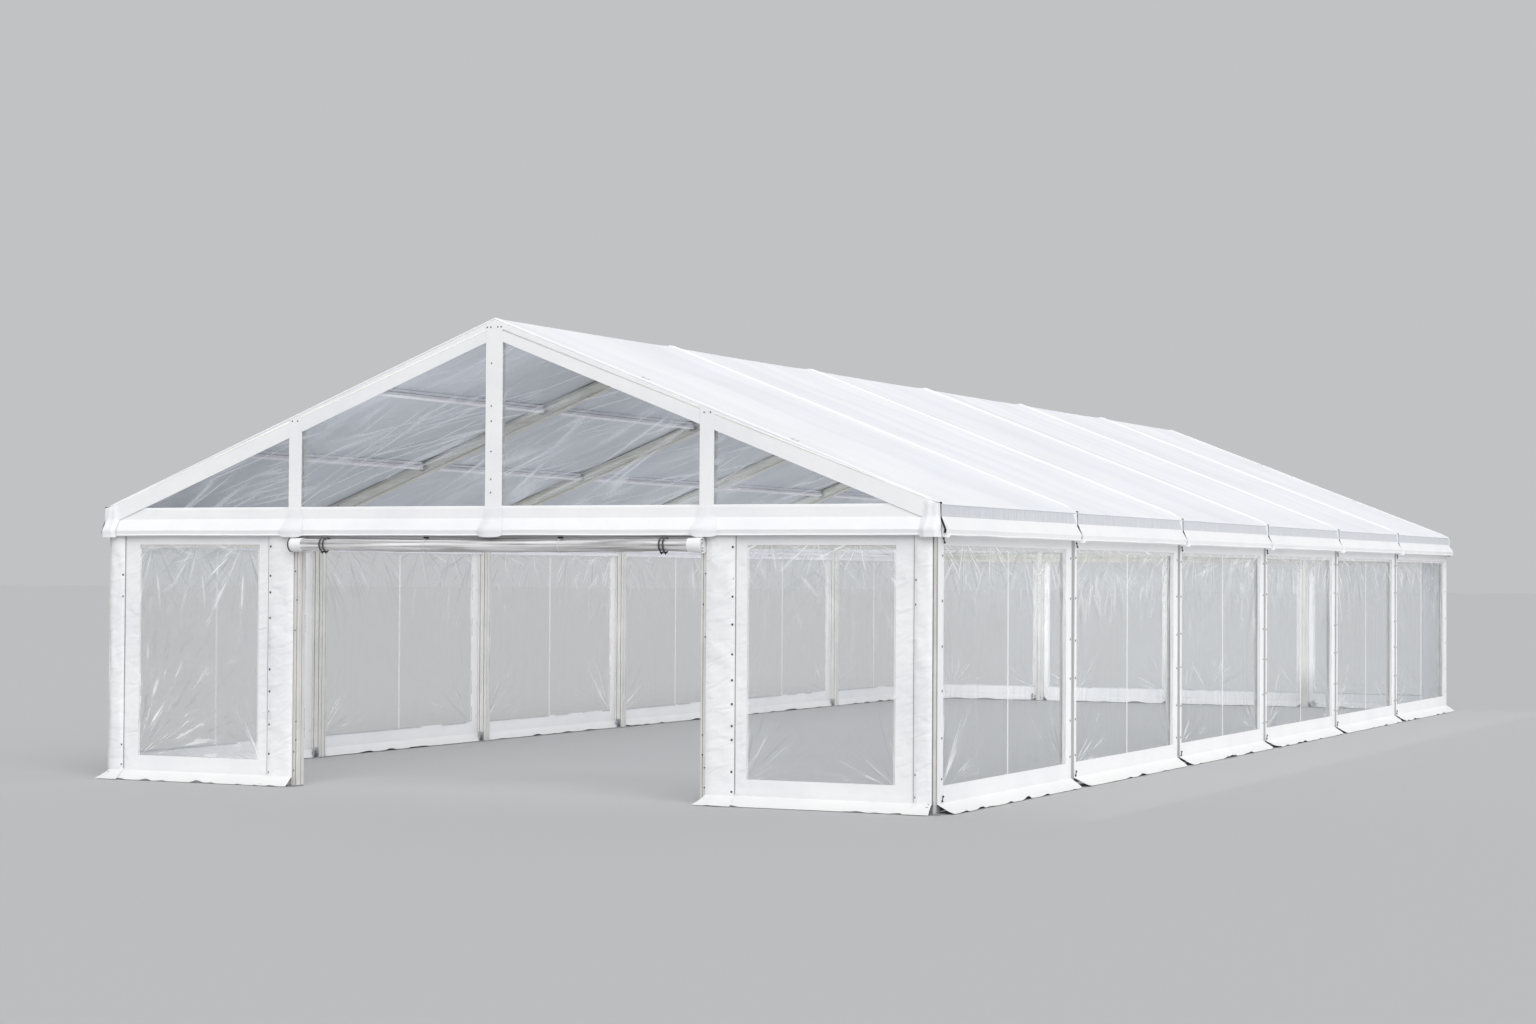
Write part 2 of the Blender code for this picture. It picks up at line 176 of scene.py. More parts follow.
def pick_faces(piece, chosen):
    """Edit mode with those faces selected that pass the test."""
    take(piece)
    bpy.ops.object.mode_set(mode="EDIT")
    bpy.ops.mesh.select_mode(type="FACE")
    bpy.ops.mesh.select_all(action="DESELECT")
    bpy.ops.object.mode_set(mode="OBJECT")
    for face in piece.data.polygons:
        face.select = chosen(face)
    bpy.ops.object.mode_set(mode="EDIT")


def on_all(piece, operator, **settings):
    """One mesh operator on a whole piece, in edit mode."""
    take(piece)
    bpy.ops.object.mode_set(mode="EDIT")
    bpy.ops.mesh.select_all(action="SELECT")
    operator(**settings)
    bpy.ops.object.mode_set(mode="OBJECT")
    return piece


def applied(piece, kind, **settings):
    """A modifier with its settings, applied at once."""
    take(piece)
    step = piece.modifiers.new(kind.lower(), kind)
    for key, value in settings.items():
        setattr(step, key, value)
    bpy.ops.object.modifier_apply(modifier=step.name)
    return piece


def cut(piece, point, normal):
    """Cuts off what lies beyond a plane and closes the cut."""
    return on_all(piece, bpy.ops.mesh.bisect, plane_co=point, plane_no=normal, use_fill=True,
                  clear_outer=True)


def joined(name, pieces):
    """Several pieces made one."""
    deselect()
    for piece in pieces:
        piece.select_set(True)
    bpy.context.view_layer.objects.active = pieces[0]
    if len(pieces) > 1:
        bpy.ops.object.join()
    return named(name)


def copies(name, pattern, places, pattern_stays=False):
    """Copies of a pattern, each with its own mesh, put in their places and joined."""
    made = []
    for place in places:
        copy = pattern.copy()
        copy.data = pattern.data.copy()
        copy.data.transform(place)
        bpy.context.scene.collection.objects.link(copy)
        made.append(copy)
    if not pattern_stays:
        bpy.data.objects.remove(pattern)
    return joined(name, made)


def move(*point):
    """A matrix that moves."""
    return Matrix.Translation(Vector(point))


def spin(degrees, axis="Z"):
    """A matrix that turns about an axis through the origin."""
    return Matrix.Rotation(math.radians(degrees), 4, axis)


def axes(x_to, y_to, z_to, at=(0, 0, 0)):
    """A matrix that lays a pattern's own axes along three directions, and moves it."""
    turned = Matrix((x_to, y_to, z_to)).transposed().to_4x4()
    return Matrix.Translation(Vector(at)) @ turned


def block(name, low, high, edge):
    """A block between two corners, with its edges eased by a bevel."""
    low, high = Vector(low), Vector(high)
    deselect()
    bpy.ops.mesh.primitive_cube_add(size=1, location=(low + high) / 2, scale=high - low)
    bpy.ops.object.transform_apply(location=True, rotation=True, scale=True)
    return applied(named(name), "BEVEL", width=edge, segments=2)


def rod(name, start, end, radius, sides=12, edge=0.0):
    """A round bar from one point to another, its rims eased by a bevel."""
    start, end = Vector(start), Vector(end)
    deselect()
    turned = (end - start).to_track_quat("Z", "Y").to_euler()
    bpy.ops.mesh.primitive_cylinder_add(vertices=sides, radius=radius, depth=(end - start).length,
                                        location=(start + end) / 2, rotation=turned)
    bpy.ops.object.transform_apply(location=True, rotation=True, scale=True)
    piece = named(name)
    if edge:
        applied(piece, "BEVEL", width=edge, segments=2, limit_method="ANGLE")
    bpy.ops.object.shade_smooth_by_angle(angle=ROUND)
    return piece


def smooth(t):
    """0 below 0, 1 above 1, and an even S between."""
    t = min(1.0, max(0.0, t))
    return t * t * (3 - 2 * t)


def steps(start, end, length):
    """Evenly spaced values from start up to end, about a length apart, without the last."""
    count = max(1, round(abs(end - start) / length))
    return [start + (end - start) * number / count for number in range(count)]


def lines(stops, length):
    """Stops with evenly spaced values between them, the last stop too."""
    found = []
    for start, end in zip(stops, stops[1:]):
        found += steps(start, end, length)
    return found + [stops[-1]]


# %% [markdown]
# ## Materials
# Each finish starts from the real stuff. Colours are sRGB hex values, turned to linear light by
# one function, and one function adds a node with its settings and links. Patterns are sized in
# real millimetres on Object coordinates, which are metres here, because every piece sits at
# the origin with its place in its mesh.

# %% Colour and node helpers


def linear(code):
    """An sRGB hex colour as linear red, green, blue and alpha."""
    parts = [int(code[place:place + 2], 16) / 255 for place in (1, 3, 5)]
    return (*(p / 12.92 if p <= 0.04045 else ((p + 0.055) / 1.055) ** 2.4 for p in parts), 1.0)


def add(finish, kind, links=(), values=(), **settings):
    """A node with its settings, typed values and links, each by the socket's name or number."""
    made = finish.node_tree.nodes.new(kind)
    for key, value in settings.items():
        setattr(made, key, value)
    for key, value in dict(values).items():
        made.inputs[key].default_value = value
    for key, (source, output) in dict(links).items():
        finish.node_tree.links.new(source.outputs[output], made.inputs[key])
    return made


def new_finish(name, roughness, metallic=0.0, ior=1.5, colour="#FFFFFF"):
    """A material with its Principled shader, and the shader."""
    finish = bpy.data.materials.new(name)
    finish.use_nodes = True
    shader = finish.node_tree.nodes["Principled BSDF"]
    shader.inputs["Roughness"].default_value = roughness
    shader.inputs["Metallic"].default_value = metallic
    shader.inputs["IOR"].default_value = ior
    shader.inputs["Base Color"].default_value = linear(colour)
    return finish, shader


def feed(finish, shader, socket, source, output):
    """Links a node's output to a socket of the shader."""
    finish.node_tree.links.new(source.outputs[output], shader.inputs[socket])


def tone(finish, factor, low, high):
    """A mix of two colours by a factor (node, output)."""
    return add(finish, "ShaderNodeMix", {0: factor}, {6: linear(low), 7: linear(high)},
               data_type="RGBA")


# %% [markdown]
# ### White PVC-coated polyester
# A woven polyester base with PVC on both sides, lacquered: smooth, half glossy, very slightly
# blue, with a few soft folds from transport, whose darker, bluer tone is painted shade along the
# folds. Rain splash greys the lowest few centimetres. The weave, 1 mm threads, is too fine for
# this distance, so the bump draws the soft puckers of the coating at about 40 mm instead, which
# do show.

# %% White PVC
WHITE, SOILED, MUD = "#F6F6F7", "#ECEDF0", "#D6D4CD"


def white_pvc(name, colour=WHITE, soil_and_fold_shade=SOILED, ruched=False, folded=False, laced=False):
    """White PVC. A ruched band has fine upright pleats, a folded one long soft packing folds, a
    laced one short slanting puckers. In a ruched or folded band the second colour follows the
    pleats or folds, as painted shade in them; elsewhere it follows the soil."""
    finish, shader = new_finish(name, 0.42, ior=1.53)
    place = add(finish, "ShaderNodeTexCoord")
    soil = add(finish, "ShaderNodeTexNoise", {"Vector": (place, "Object")},
               {"Scale": 0.9, "Detail": 5.0, "Roughness": 0.62})
    share = add(finish, "ShaderNodeMapRange", {"Value": (soil, "Fac")},
                {"From Min": 0.42, "From Max": 0.72})
    height = add(finish, "ShaderNodeSeparateXYZ", {"Vector": (place, "Object")})
    pucker = add(finish, "ShaderNodeTexNoise", {"Vector": (place, "Object")},
                 {"Scale": 11.0, "Detail": 3.0, "Roughness": 0.5})
    bump = add(finish, "ShaderNodeBump", {"Height": (pucker, "Fac")},
               {"Strength": 0.35, "Distance": 0.006})
    if laced:
        drawn = add(finish, "ShaderNodeMapping", {"Vector": (place, "Object")},
                    {"Rotation": (0.0, math.radians(-20), 0.0), "Scale": (0.24, 1.0, 0.10)},
                    vector_type="TEXTURE")
        puckers = add(finish, "ShaderNodeTexNoise", {"Vector": (drawn, "Vector")},
                      {"Scale": 1.0, "Detail": 1.5, "Roughness": 0.45, "Distortion": 0.8})
        bump = add(finish, "ShaderNodeBump", {"Height": (puckers, "Fac"),
                                              "Normal": (bump, "Normal")},
                   {"Strength": 0.5, "Distance": 0.035})
    if folded or ruched:
        stretch = (0.12, 2.2, 0.12) if folded else (1.0, 1.0, 0.12)
        drawn = add(finish, "ShaderNodeMapping", {"Vector": (place, "Object")},
                    {"Scale": stretch})
        pleats = add(finish, "ShaderNodeTexNoise", {"Vector": (drawn, "Vector")},
                     {"Scale": 1.0 if folded else 36.0, "Detail": 3.0, "Roughness": 0.55})
        share = add(finish, "ShaderNodeMapRange", {"Value": (pleats, "Fac")},
                    {"From Min": 0.40, "From Max": 0.66})
        bump = add(finish, "ShaderNodeBump", {"Height": (pleats, "Fac"),
                                              "Normal": (bump, "Normal")},
                   {"Strength": 0.5, "Distance": 0.012 if folded else 0.005})
    # In ruched and folded bands the darker colour lies along the pleats: painted shade.
    body = tone(finish, (share, "Result"), colour, soil_and_fold_shade)
    splash = add(finish, "ShaderNodeMapRange", {"Value": (height, "Z")},
                 {"From Min": 0.16, "From Max": 0.0, "To Max": 0.4})
    worn = add(finish, "ShaderNodeMix", {0: (splash, "Result"), 6: (body, 2)},
               {7: linear(MUD)}, data_type="RGBA")
    feed(finish, shader, "Base Color", worn, 2)
    gloss = add(finish, "ShaderNodeMapRange", {"Value": (soil, "Fac")},
                {"From Min": 0.3, "From Max": 0.7, "To Min": 0.36, "To Max": 0.52})
    feed(finish, shader, "Roughness", gloss, "Result")
    feed(finish, shader, "Normal", bump, "Normal")
    return finish


WHITE_PVC = white_pvc("white_pvc_coated_polyester")
ROOF_PVC = white_pvc("white_pvc_of_the_roof", "#F7F7F9", "#EDEFF5", folded=True)
# The ruched band is a greyer copy of the white, as painted shade in its gathers.
RUCHED_PVC_PAINTED_SHADE = white_pvc("white_pvc_ruched_band_painted_shade", "#DADCE0", "#CCCFD6", ruched=True)
KEDER_PVC = white_pvc("white_pvc_keder_cord", "#FBFAF6", "#F1EFE9")
LACED_PVC = white_pvc("white_pvc_laced", laced=True)
# The underside of the roof is a greyer copy of the white: painted shade.
UNDERSIDE_PAINTED_SHADE_PVC = white_pvc("white_pvc_underside_of_the_roof_painted_shade", "#CACFD7", "#BDC2CB", folded=True)
SHADOW_LINE_GREY = white_pvc("grey_pvc_cord_painted_as_shadow_line", "#A3A6A8", "#8C8F92")
# The corner wraps and the hanging feet of the post strips are a greyer copy of the white: painted
# shade.
WRAP_PVC_PAINTED_SHADE = white_pvc("white_pvc_of_the_corner_wraps_painted_shade", "#F0F1F3", "#E6E7EB")

# %% [markdown]
# ### Clear flexible PVC film
# Window film is clear but never quite: it hazes where it rubs, and it keeps every fold from
# the bag as a thin white line, part whitened film and part painted highlight, with painted shade
# as dull grey in the hollows between. Creases run from where the film is held, so they are drawn
# as rays round the window's corners and round two places on its top edge. The window's own UV
# map is in metres, with its lower left corner at zero. A share of the film is opaque haze and the
# rest is let through, and more of it shines at grazing angles, as Fresnel says.

# %% Clear PVC
FILM_IOR, EDGE_IOR = 1.53, 1.3
# The second tint is the grey of painted shade in the film's hollows.
FILM_TINT, HOLLOW_PAINTED_SHADE_TINT = "#D3D8DC", "#8C949B"


def rays(finish, uv, pane, centre, reach, count, broken=1.3):
    """Creases that run from a place on the film, where a noise round that place peaks, drawn white
    as whitened film and painted highlight, and the hollows between them, where it is low, drawn
    grey as painted shade."""
    spoke = add(finish, "ShaderNodeVectorMath", {0: (uv, "UV")}, {1: (*centre, 0.0)},
                operation="SUBTRACT")
    parts = add(finish, "ShaderNodeSeparateXYZ", {"Vector": (spoke, "Vector")})
    angle = add(finish, "ShaderNodeMath", {0: (parts, "Y"), 1: (parts, "X")},
                operation="ARCTAN2")
    far = add(finish, "ShaderNodeVectorMath", {0: (spoke, "Vector")}, operation="LENGTH")
    around = add(finish, "ShaderNodeMath", {0: (angle, "Value")}, {1: count},
                 operation="MULTIPLY")
    along = add(finish, "ShaderNodeMath", {0: (far, "Value")}, {1: broken}, operation="MULTIPLY")
    track = add(finish, "ShaderNodeCombineXYZ",
                {"X": (around, "Value"), "Y": (along, "Value"), "Z": (pane, "Fac")})
    peaks = add(finish, "ShaderNodeTexNoise", {"Vector": (track, "Vector")},
                {"Scale": 1.0, "Detail": 2.5, "Roughness": 0.55, "Distortion": 0.15})
    fade = add(finish, "ShaderNodeMapRange", {"Value": (far, "Value")},
               {"From Min": reach, "From Max": 0.2 * reach})
    sharp = add(finish, "ShaderNodeMapRange", {"Value": (peaks, "Fac")},
                {"From Min": 0.62, "From Max": 0.67})
    soft = add(finish, "ShaderNodeMapRange", {"Value": (peaks, "Fac")},
               {"From Min": 0.53, "From Max": 0.60, "To Max": 0.30})
    both = add(finish, "ShaderNodeMath", {0: (sharp, "Result"), 1: (soft, "Result")},
               operation="MAXIMUM")
    low = add(finish, "ShaderNodeMapRange", {"Value": (peaks, "Fac")},
              {"From Min": 0.40, "From Max": 0.34})
    return [add(finish, "ShaderNodeMath", {0: (part, output), 1: (fade, "Result")},
                operation="MULTIPLY") for part, output in ((both, "Value"), (low, "Result"))]


def welds(finish, uv, size):
    """The pane's welded edges: 20 mm at both sides, by its reach, and 40 mm at the top."""
    parts = add(finish, "ShaderNodeSeparateXYZ", {"Vector": (uv, "UV")})
    reach = add(finish, "ShaderNodeAttribute", attribute_name="reach")
    back = add(finish, "ShaderNodeMath", {0: (reach, "Fac"), 1: (parts, "X")},
               operation="SUBTRACT")
    inside = add(finish, "ShaderNodeMath", {0: (back, "Value"), 1: (parts, "X")},
                 operation="MINIMUM")
    side = add(finish, "ShaderNodeMapRange", {"Value": (inside, "Value")},
               {"From Min": 0.022, "From Max": 0.018})
    top = add(finish, "ShaderNodeMapRange", {"Value": (parts, "Y")},
              {"From Min": size[1] - 0.042, "From Max": size[1] - 0.038})
    return add(finish, "ShaderNodeMath", {0: (side, "Result"), 1: (top, "Result")},
               operation="MAXIMUM")


def clear_pvc(name, size, haze, white, anchors):
    """Clear film with white fold lines round its anchors, each (place, reach, rays, how broken):
    whitened film and painted highlight, with painted shade in the hollows between.
    """
    finish, shader = new_finish(name, 0.16, ior=FILM_IOR)
    uv = add(finish, "ShaderNodeUVMap", uv_map="film")
    pane = add(finish, "ShaderNodeAttribute", attribute_name="pane")
    crease_glint = hollow_painted_shade = None
    for centre, *shape in anchors:
        fan = rays(finish, uv, pane, (centre[0] * size[0], centre[1] * size[1]), *shape)
        if crease_glint:
            fan = [add(finish, "ShaderNodeMath", {0: (old, "Value"), 1: (new, "Value")},
                       operation="MAXIMUM") for old, new in zip((crease_glint, hollow_painted_shade), fan)]
        crease_glint, hollow_painted_shade = fan
    weld = welds(finish, uv, size)
    place = add(finish, "ShaderNodeTexCoord")
    cloud = add(finish, "ShaderNodeTexNoise", {"Vector": (place, "Object")},
                {"Scale": 1.7, "Detail": 4.0, "Roughness": 0.6})
    mist = add(finish, "ShaderNodeMapRange", {"Value": (cloud, "Fac")},
               {"From Min": 0.35, "From Max": 0.75, "To Min": haze * 0.6, "To Max": haze * 1.7})
    edge = add(finish, "ShaderNodeFresnel", values={"IOR": EDGE_IOR})
    veil = add(finish, "ShaderNodeMath", {0: (mist, "Result"), 1: (edge, "Fac")}, operation="ADD")
    veil = add(finish, "ShaderNodeMath", {0: (weld, "Value"), 2: (veil, "Value")}, {1: 0.30},
               operation="MULTIPLY_ADD")
    veil = add(finish, "ShaderNodeMath", {0: (hollow_painted_shade, "Value"), 2: (veil, "Value")}, {1: 0.16},
               operation="MULTIPLY_ADD")
    cover = add(finish, "ShaderNodeMath", {0: (crease_glint, "Value"), 2: (veil, "Value")}, {1: white},
                operation="MULTIPLY_ADD", use_clamp=True)
    feed(finish, shader, "Alpha", cover, "Value")
    # Grey in the hollows is painted shade; white along the fold lines is whitened film and painted
    # highlight.
    dull = tone(finish, (hollow_painted_shade, "Value"), FILM_TINT, HOLLOW_PAINTED_SHADE_TINT)
    milky_and_glint = add(finish, "ShaderNodeMath", {0: (crease_glint, "Value"), 1: (weld, "Value")},
                operation="MAXIMUM")
    body = add(finish, "ShaderNodeMix", {0: (milky_and_glint, "Value"), 6: (dull, 2)},
               {7: linear("#FFFFFF")}, data_type="RGBA")
    feed(finish, shader, "Base Color", body, 2)
    bump = add(finish, "ShaderNodeBump", {"Height": (crease_glint, "Value")},
               {"Strength": 0.25, "Distance": 0.003})
    feed(finish, shader, "Normal", bump, "Normal")
    return finish


SIDE_PANE = (1.83, 2.35)
SIDE_FILM = clear_pvc("clear_pvc_film_of_a_side_window", SIDE_PANE, 0.09, 0.55,
                      [((-0.02, 1.02), 1.5, 9.0), ((0.30, 1.03), 1.2, 9.0),
                       ((0.72, 1.03), 1.1, 10.0), ((-0.02, -0.02), 1.3, 10.0)])
FRONT_PANE = (1.615, 2.35)
FRONT_FILM = clear_pvc("clear_pvc_film_of_a_gable_wall", FRONT_PANE, 0.10, 0.45,
                       [((0.15, 1.03), 1.2, 9.0), ((0.46, 1.03), 0.9, 10.0),
                        ((0.75, 1.03), 1.3, 9.0), ((-0.02, -0.02), 0.9, 10.0),
                        ((1.02, -0.02), 0.9, 9.0)])
CREASED_FILM = clear_pvc("clear_pvc_film_much_creased", FRONT_PANE, 0.12, 0.70,
                         [((0.12, 1.03), 1.1, 10.0), ((0.50, 1.03), 1.0, 10.0),
                          ((0.88, 1.03), 1.6, 9.0), ((-0.02, -0.02), 2.1, 13.0, 2.6),
                          ((1.02, -0.02), 0.8, 9.0)])

# %% [markdown]
# ### Anodised aluminium
# The extrusions come satin from the anodising bath, whose oxide scatters about half the light,
# with faint lines along their length from the die and a grey patina from years of handling.
# The noise is drawn out along the bar, so each direction in the tent has its own version. The
# outer side of the wall legs is greyer, as painted shade, and the channels are dark: dust, and
# painted shade in their depth.

# %% Aluminium


def aluminium(name, along, colour, dull, metallic=0.25):
    """Anodised aluminium with die lines along one axis."""
    finish, shader = new_finish(name, 0.36, metallic=metallic)
    place = add(finish, "ShaderNodeTexCoord")
    stretch = [1.5 if axis == along else 90.0 for axis in "XYZ"]
    drawn = add(finish, "ShaderNodeMapping", {"Vector": (place, "Object")},
                {"Scale": stretch})
    die = add(finish, "ShaderNodeTexNoise", {"Vector": (drawn, "Vector")},
              {"Scale": 1.0, "Detail": 3.0, "Roughness": 0.6})
    patina = add(finish, "ShaderNodeTexNoise", {"Vector": (place, "Object")},
                 {"Scale": 2.3, "Detail": 5.0, "Roughness": 0.65})
    share = add(finish, "ShaderNodeMath", {0: (die, "Fac"), 1: (patina, "Fac")},
                operation="MULTIPLY")
    spread = add(finish, "ShaderNodeMapRange", {"Value": (share, "Value")},
                 {"From Min": 0.15, "From Max": 0.38})
    body = tone(finish, (spread, "Result"), dull, colour)
    feed(finish, shader, "Base Color", body, 2)
    satin = add(finish, "ShaderNodeMapRange", {"Value": (patina, "Fac")},
                {"From Min": 0.3, "From Max": 0.7, "To Min": 0.30, "To Max": 0.46})
    feed(finish, shader, "Roughness", satin, "Result")
    bump = add(finish, "ShaderNodeBump", {"Height": (die, "Fac")},
               {"Strength": 0.25, "Distance": 0.0008})
    feed(finish, shader, "Normal", bump, "Normal")
    return finish


UPRIGHT_ALUMINIUM = aluminium("anodised_aluminium_upright", "Z", "#F4F2EE", "#DEDDD9")
OUTER_FACE_SHADE_ALUMINIUM = aluminium("anodised_aluminium_outer_faces_painted_shade", "Z", "#BFBFC1", "#A9A9AC")
CROSS_ALUMINIUM = aluminium("anodised_aluminium_across", "X", "#E4E2DA", "#C9C7BE")
LONG_ALUMINIUM = aluminium("anodised_aluminium_lengthwise", "Y", "#F3F2F7", "#E0DFE5",
                           metallic=0.0)
# The channels' finishes are dark: dust, and painted shade in the recess.
CHANNEL_DUST_AND_SHADE = aluminium("anodised_aluminium_channel_dust_and_painted_shade", "Z", "#77736B", "#57534C")
LEG_CHANNEL_DUST_AND_SHADE = aluminium("anodised_aluminium_leg_channel_dust_and_painted_shade", "Z", "#929293", "#757576")

# %% [markdown]
# ### Galvanised steel, rubber cord, webbing and eyelets
# Hot-dip zinc freezes in flat crystals, the spangle, about 15 mm across, each with its own grey,
# which a Voronoi pattern draws cell by cell. The shock cord has a black braided cover, the
# straps are grey polyester webbing with ribs every 3 mm, and the eyelets are nickelled brass.
# Wear clouds the brass and the rubber in spots of a centimetre or two.

# %% Small finishes
WAVE_TURN = 6.28


def galvanised():
    """Hot-dip galvanised steel."""
    finish, shader = new_finish("hot_dip_galvanised_steel", 0.45, metallic=0.8)
    place = add(finish, "ShaderNodeTexCoord")
    spangle = add(finish, "ShaderNodeTexVoronoi", {"Vector": (place, "Object")}, {"Scale": 70.0})
    grey = add(finish, "ShaderNodeSeparateColor", {"Color": (spangle, "Color")})
    body = tone(finish, (grey, "Red"), "#9DA2A5", "#DDE0E2")
    feed(finish, shader, "Base Color", body, 2)
    matt = add(finish, "ShaderNodeMapRange", {"Value": (grey, "Green")},
               {"To Min": 0.38, "To Max": 0.62})
    feed(finish, shader, "Roughness", matt, "Result")
    return finish


def ribbed(name, low, high, ribs, roughness):
    """A woven or braided strand, with ribs so many a metre."""
    finish, shader = new_finish(name, roughness)
    place = add(finish, "ShaderNodeTexCoord")
    weave = add(finish, "ShaderNodeTexWave", {"Vector": (place, "Object")},
                {"Scale": ribs / WAVE_TURN, "Distortion": 0.6, "Detail": 1.0},
                bands_direction="DIAGONAL")
    body = tone(finish, (weave, "Fac"), low, high)
    feed(finish, shader, "Base Color", body, 2)
    bump = add(finish, "ShaderNodeBump", {"Height": (weave, "Fac")},
               {"Strength": 0.5, "Distance": 0.001})
    feed(finish, shader, "Normal", bump, "Normal")
    return finish


def worn(name, low, high, roughness, metallic=0.0):
    """A small part's finish, whose colour and gloss vary with its wear."""
    finish, shader = new_finish(name, roughness, metallic=metallic)
    place = add(finish, "ShaderNodeTexCoord")
    wear = add(finish, "ShaderNodeTexNoise", {"Vector": (place, "Object")},
               {"Scale": 60.0, "Detail": 3.0, "Roughness": 0.6})
    body = tone(finish, (wear, "Fac"), low, high)
    feed(finish, shader, "Base Color", body, 2)
    gloss = add(finish, "ShaderNodeMapRange", {"Value": (wear, "Fac")},
                {"From Min": 0.3, "From Max": 0.7, "To Min": roughness - 0.08,
                 "To Max": roughness + 0.10})
    feed(finish, shader, "Roughness", gloss, "Result")
    return finish


GALVANISED = galvanised()
SHOCK_CORD = ribbed("braided_black_shock_cord", "#1B1B1D", "#38383A", 400, 0.7)
WEBBING = ribbed("grey_polyester_webbing", "#3E3D40", "#5C5A5C", 330, 0.75)
LACE = ribbed("white_polyester_lace", "#CFCFCD", "#EDEDEB", 400, 0.6)
NICKEL = worn("nickelled_brass_eyelet", "#B4B1A8", "#DAD8D2", 0.25, metallic=1.0)
RUBBER = worn("black_rubber_washer", "#1A1B1D", "#27282B", 0.8)

# %% [markdown]
# ## The extruded bar
# A marquee bar is drawn through a die: a hollow box with a channel near each corner that takes
# the keder, the corded edge of a cover. Its section is drawn as one plane. Bisect cuts the plane
# into cells, one straight line at a time, the cells of the channels are deleted, and what is left
# is extruded along the bar, so all the channels are real and the bar stays a closed solid.

# %% Extruded bars
MOUTH, MOUTH_DEEP = 0.012, 0.005
CHAMBER, CHAMBER_DEEP = 0.017, 0.012
RIM = 0.0008


def channel(side, at, half):
    """The two rectangles of a keder channel in one side of a section: its mouth and chamber."""
    axis = 0 if side[1] == "x" else 1
    sign = 1 if side[0] == "+" else -1
    found = []
    for wide, start, end in ((MOUTH, 0.0, MOUTH_DEEP),
                             (CHAMBER, MOUTH_DEEP, MOUTH_DEEP + CHAMBER_DEEP)):
        deep = sorted((sign * (half[axis] - start), sign * (half[axis] - end)))
        level_range = (at - wide / 2, at + wide / 2)
        found.append((deep, level_range) if axis == 0 else (level_range, deep))
    return found


def extrusion(name, wide, deep, length, channels, corner=0.004):
    """A bar along +Z with its section about the origin and its channels cut in. The walls of the
    channels take the second finish."""
    half = (wide / 2, deep / 2)
    holes = [hole for side, at in channels for hole in channel(side, at, half)]
    deselect()
    bpy.ops.mesh.primitive_plane_add(size=1)
    piece = named(name)
    piece.scale = (wide, deep, 1)
    bpy.ops.object.transform_apply(location=False, rotation=False, scale=True)
    bpy.ops.object.mode_set(mode="EDIT")
    bpy.ops.mesh.select_all(action="SELECT")
    bpy.ops.mesh.bevel(offset=corner, segments=2, affect="VERTICES")
    for axis, normal in ((0, (1, 0, 0)), (1, (0, 1, 0))):
        for at in sorted({round(value, 5) for hole in holes for value in hole[axis]}):
            if abs(at) < half[axis] - corner / 2:
                bpy.ops.mesh.select_all(action="SELECT")
                bpy.ops.mesh.bisect(plane_co=[at * part for part in normal], plane_no=normal)

    def in_channel(spot, rim=0.0):
        return any(xs[0] - rim < spot.x < xs[1] + rim and ys[0] - rim < spot.y < ys[1] + rim
                   for xs, ys in holes)
    pick_faces(piece, lambda face: in_channel(face.center))
    bpy.ops.mesh.delete(type="FACE")
    bpy.ops.mesh.select_all(action="SELECT")
    bpy.ops.mesh.extrude_region_move(TRANSFORM_OT_translate={"value": (0, 0, length)})
    bpy.ops.mesh.select_all(action="SELECT")
    bpy.ops.mesh.normals_make_consistent(inside=False)
    bpy.ops.object.mode_set(mode="OBJECT")
    # The walls of the channels take the second finish, a dark grey: dust, and painted shade in the
    # recess.
    for face in piece.data.polygons:
        spot = face.center
        face.material_index = int(abs(face.normal.z) < 0.5 and in_channel(spot, RIM)
                                  and abs(spot.x) < half[0] - RIM and abs(spot.y) < half[1] - RIM)
    return piece


def finished(piece, *finishes):
    """A piece in one or more materials, the first all over."""
    piece.data.materials.clear()
    for finish in finishes:
        piece.data.materials.append(finish)
    return piece


pieces = {}


def keep(piece, finish=None, replaces=()):
    """Puts a finished piece on the frame: its material and the nodes it stands for."""
    if finish:
        finished(piece, finish)
    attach(piece, "root")
    if replaces:
        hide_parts(*replaces)
    pieces[piece.name] = piece


# %% [markdown]
# ## Portal frames
# One half of a portal is a leg and a rafter. The leg is cut off along the roof, the rafter
# upright at the ridge and at the leg. Turned half a circle about the middle, the same half is
# the left side, and the whole is copied to the seven places where the frame has its portals.

# %% Legs and rafters
def channels_at(x=(), y=()):
    """Channels in both sides that face along each axis, at places from the side's middle."""
    return [(f"{sign}{axis}", at) for axis, places in (("x", x), ("y", y))
            for sign in "+-" for at in places]


RAFTER_TOP, SPARE = 0.0013, 0.2
LEG_CHANNELS = channels_at(x=(-0.036, 0.036), y=(-0.032, 0.032))
RAFTER_CHANNELS = channels_at(x=(-0.052, 0.052), y=(-0.032, 0.032))
INNER_X = FACE_X - LEG_DEEP

leg = extrusion("leg", LEG_DEEP, LEG_WIDE, EAVE_Z + SPARE / 2, LEG_CHANNELS)
leg.data.transform(move(FACE_X - LEG_DEEP / 2, 0, PLATE_THICK))
cut(leg, under_roof(0, RAFTER_TOP), OUT_OF_ROOF)
finished(leg, UPRIGHT_ALUMINIUM, LEG_CHANNEL_DUST_AND_SHADE, OUTER_FACE_SHADE_ALUMINIUM)
# The outer faces of a wall leg take a greyer aluminium: painted shade.
for face in leg.data.polygons:
    if face.normal.x > 0.5 and face.material_index == 0:
        face.material_index = 2

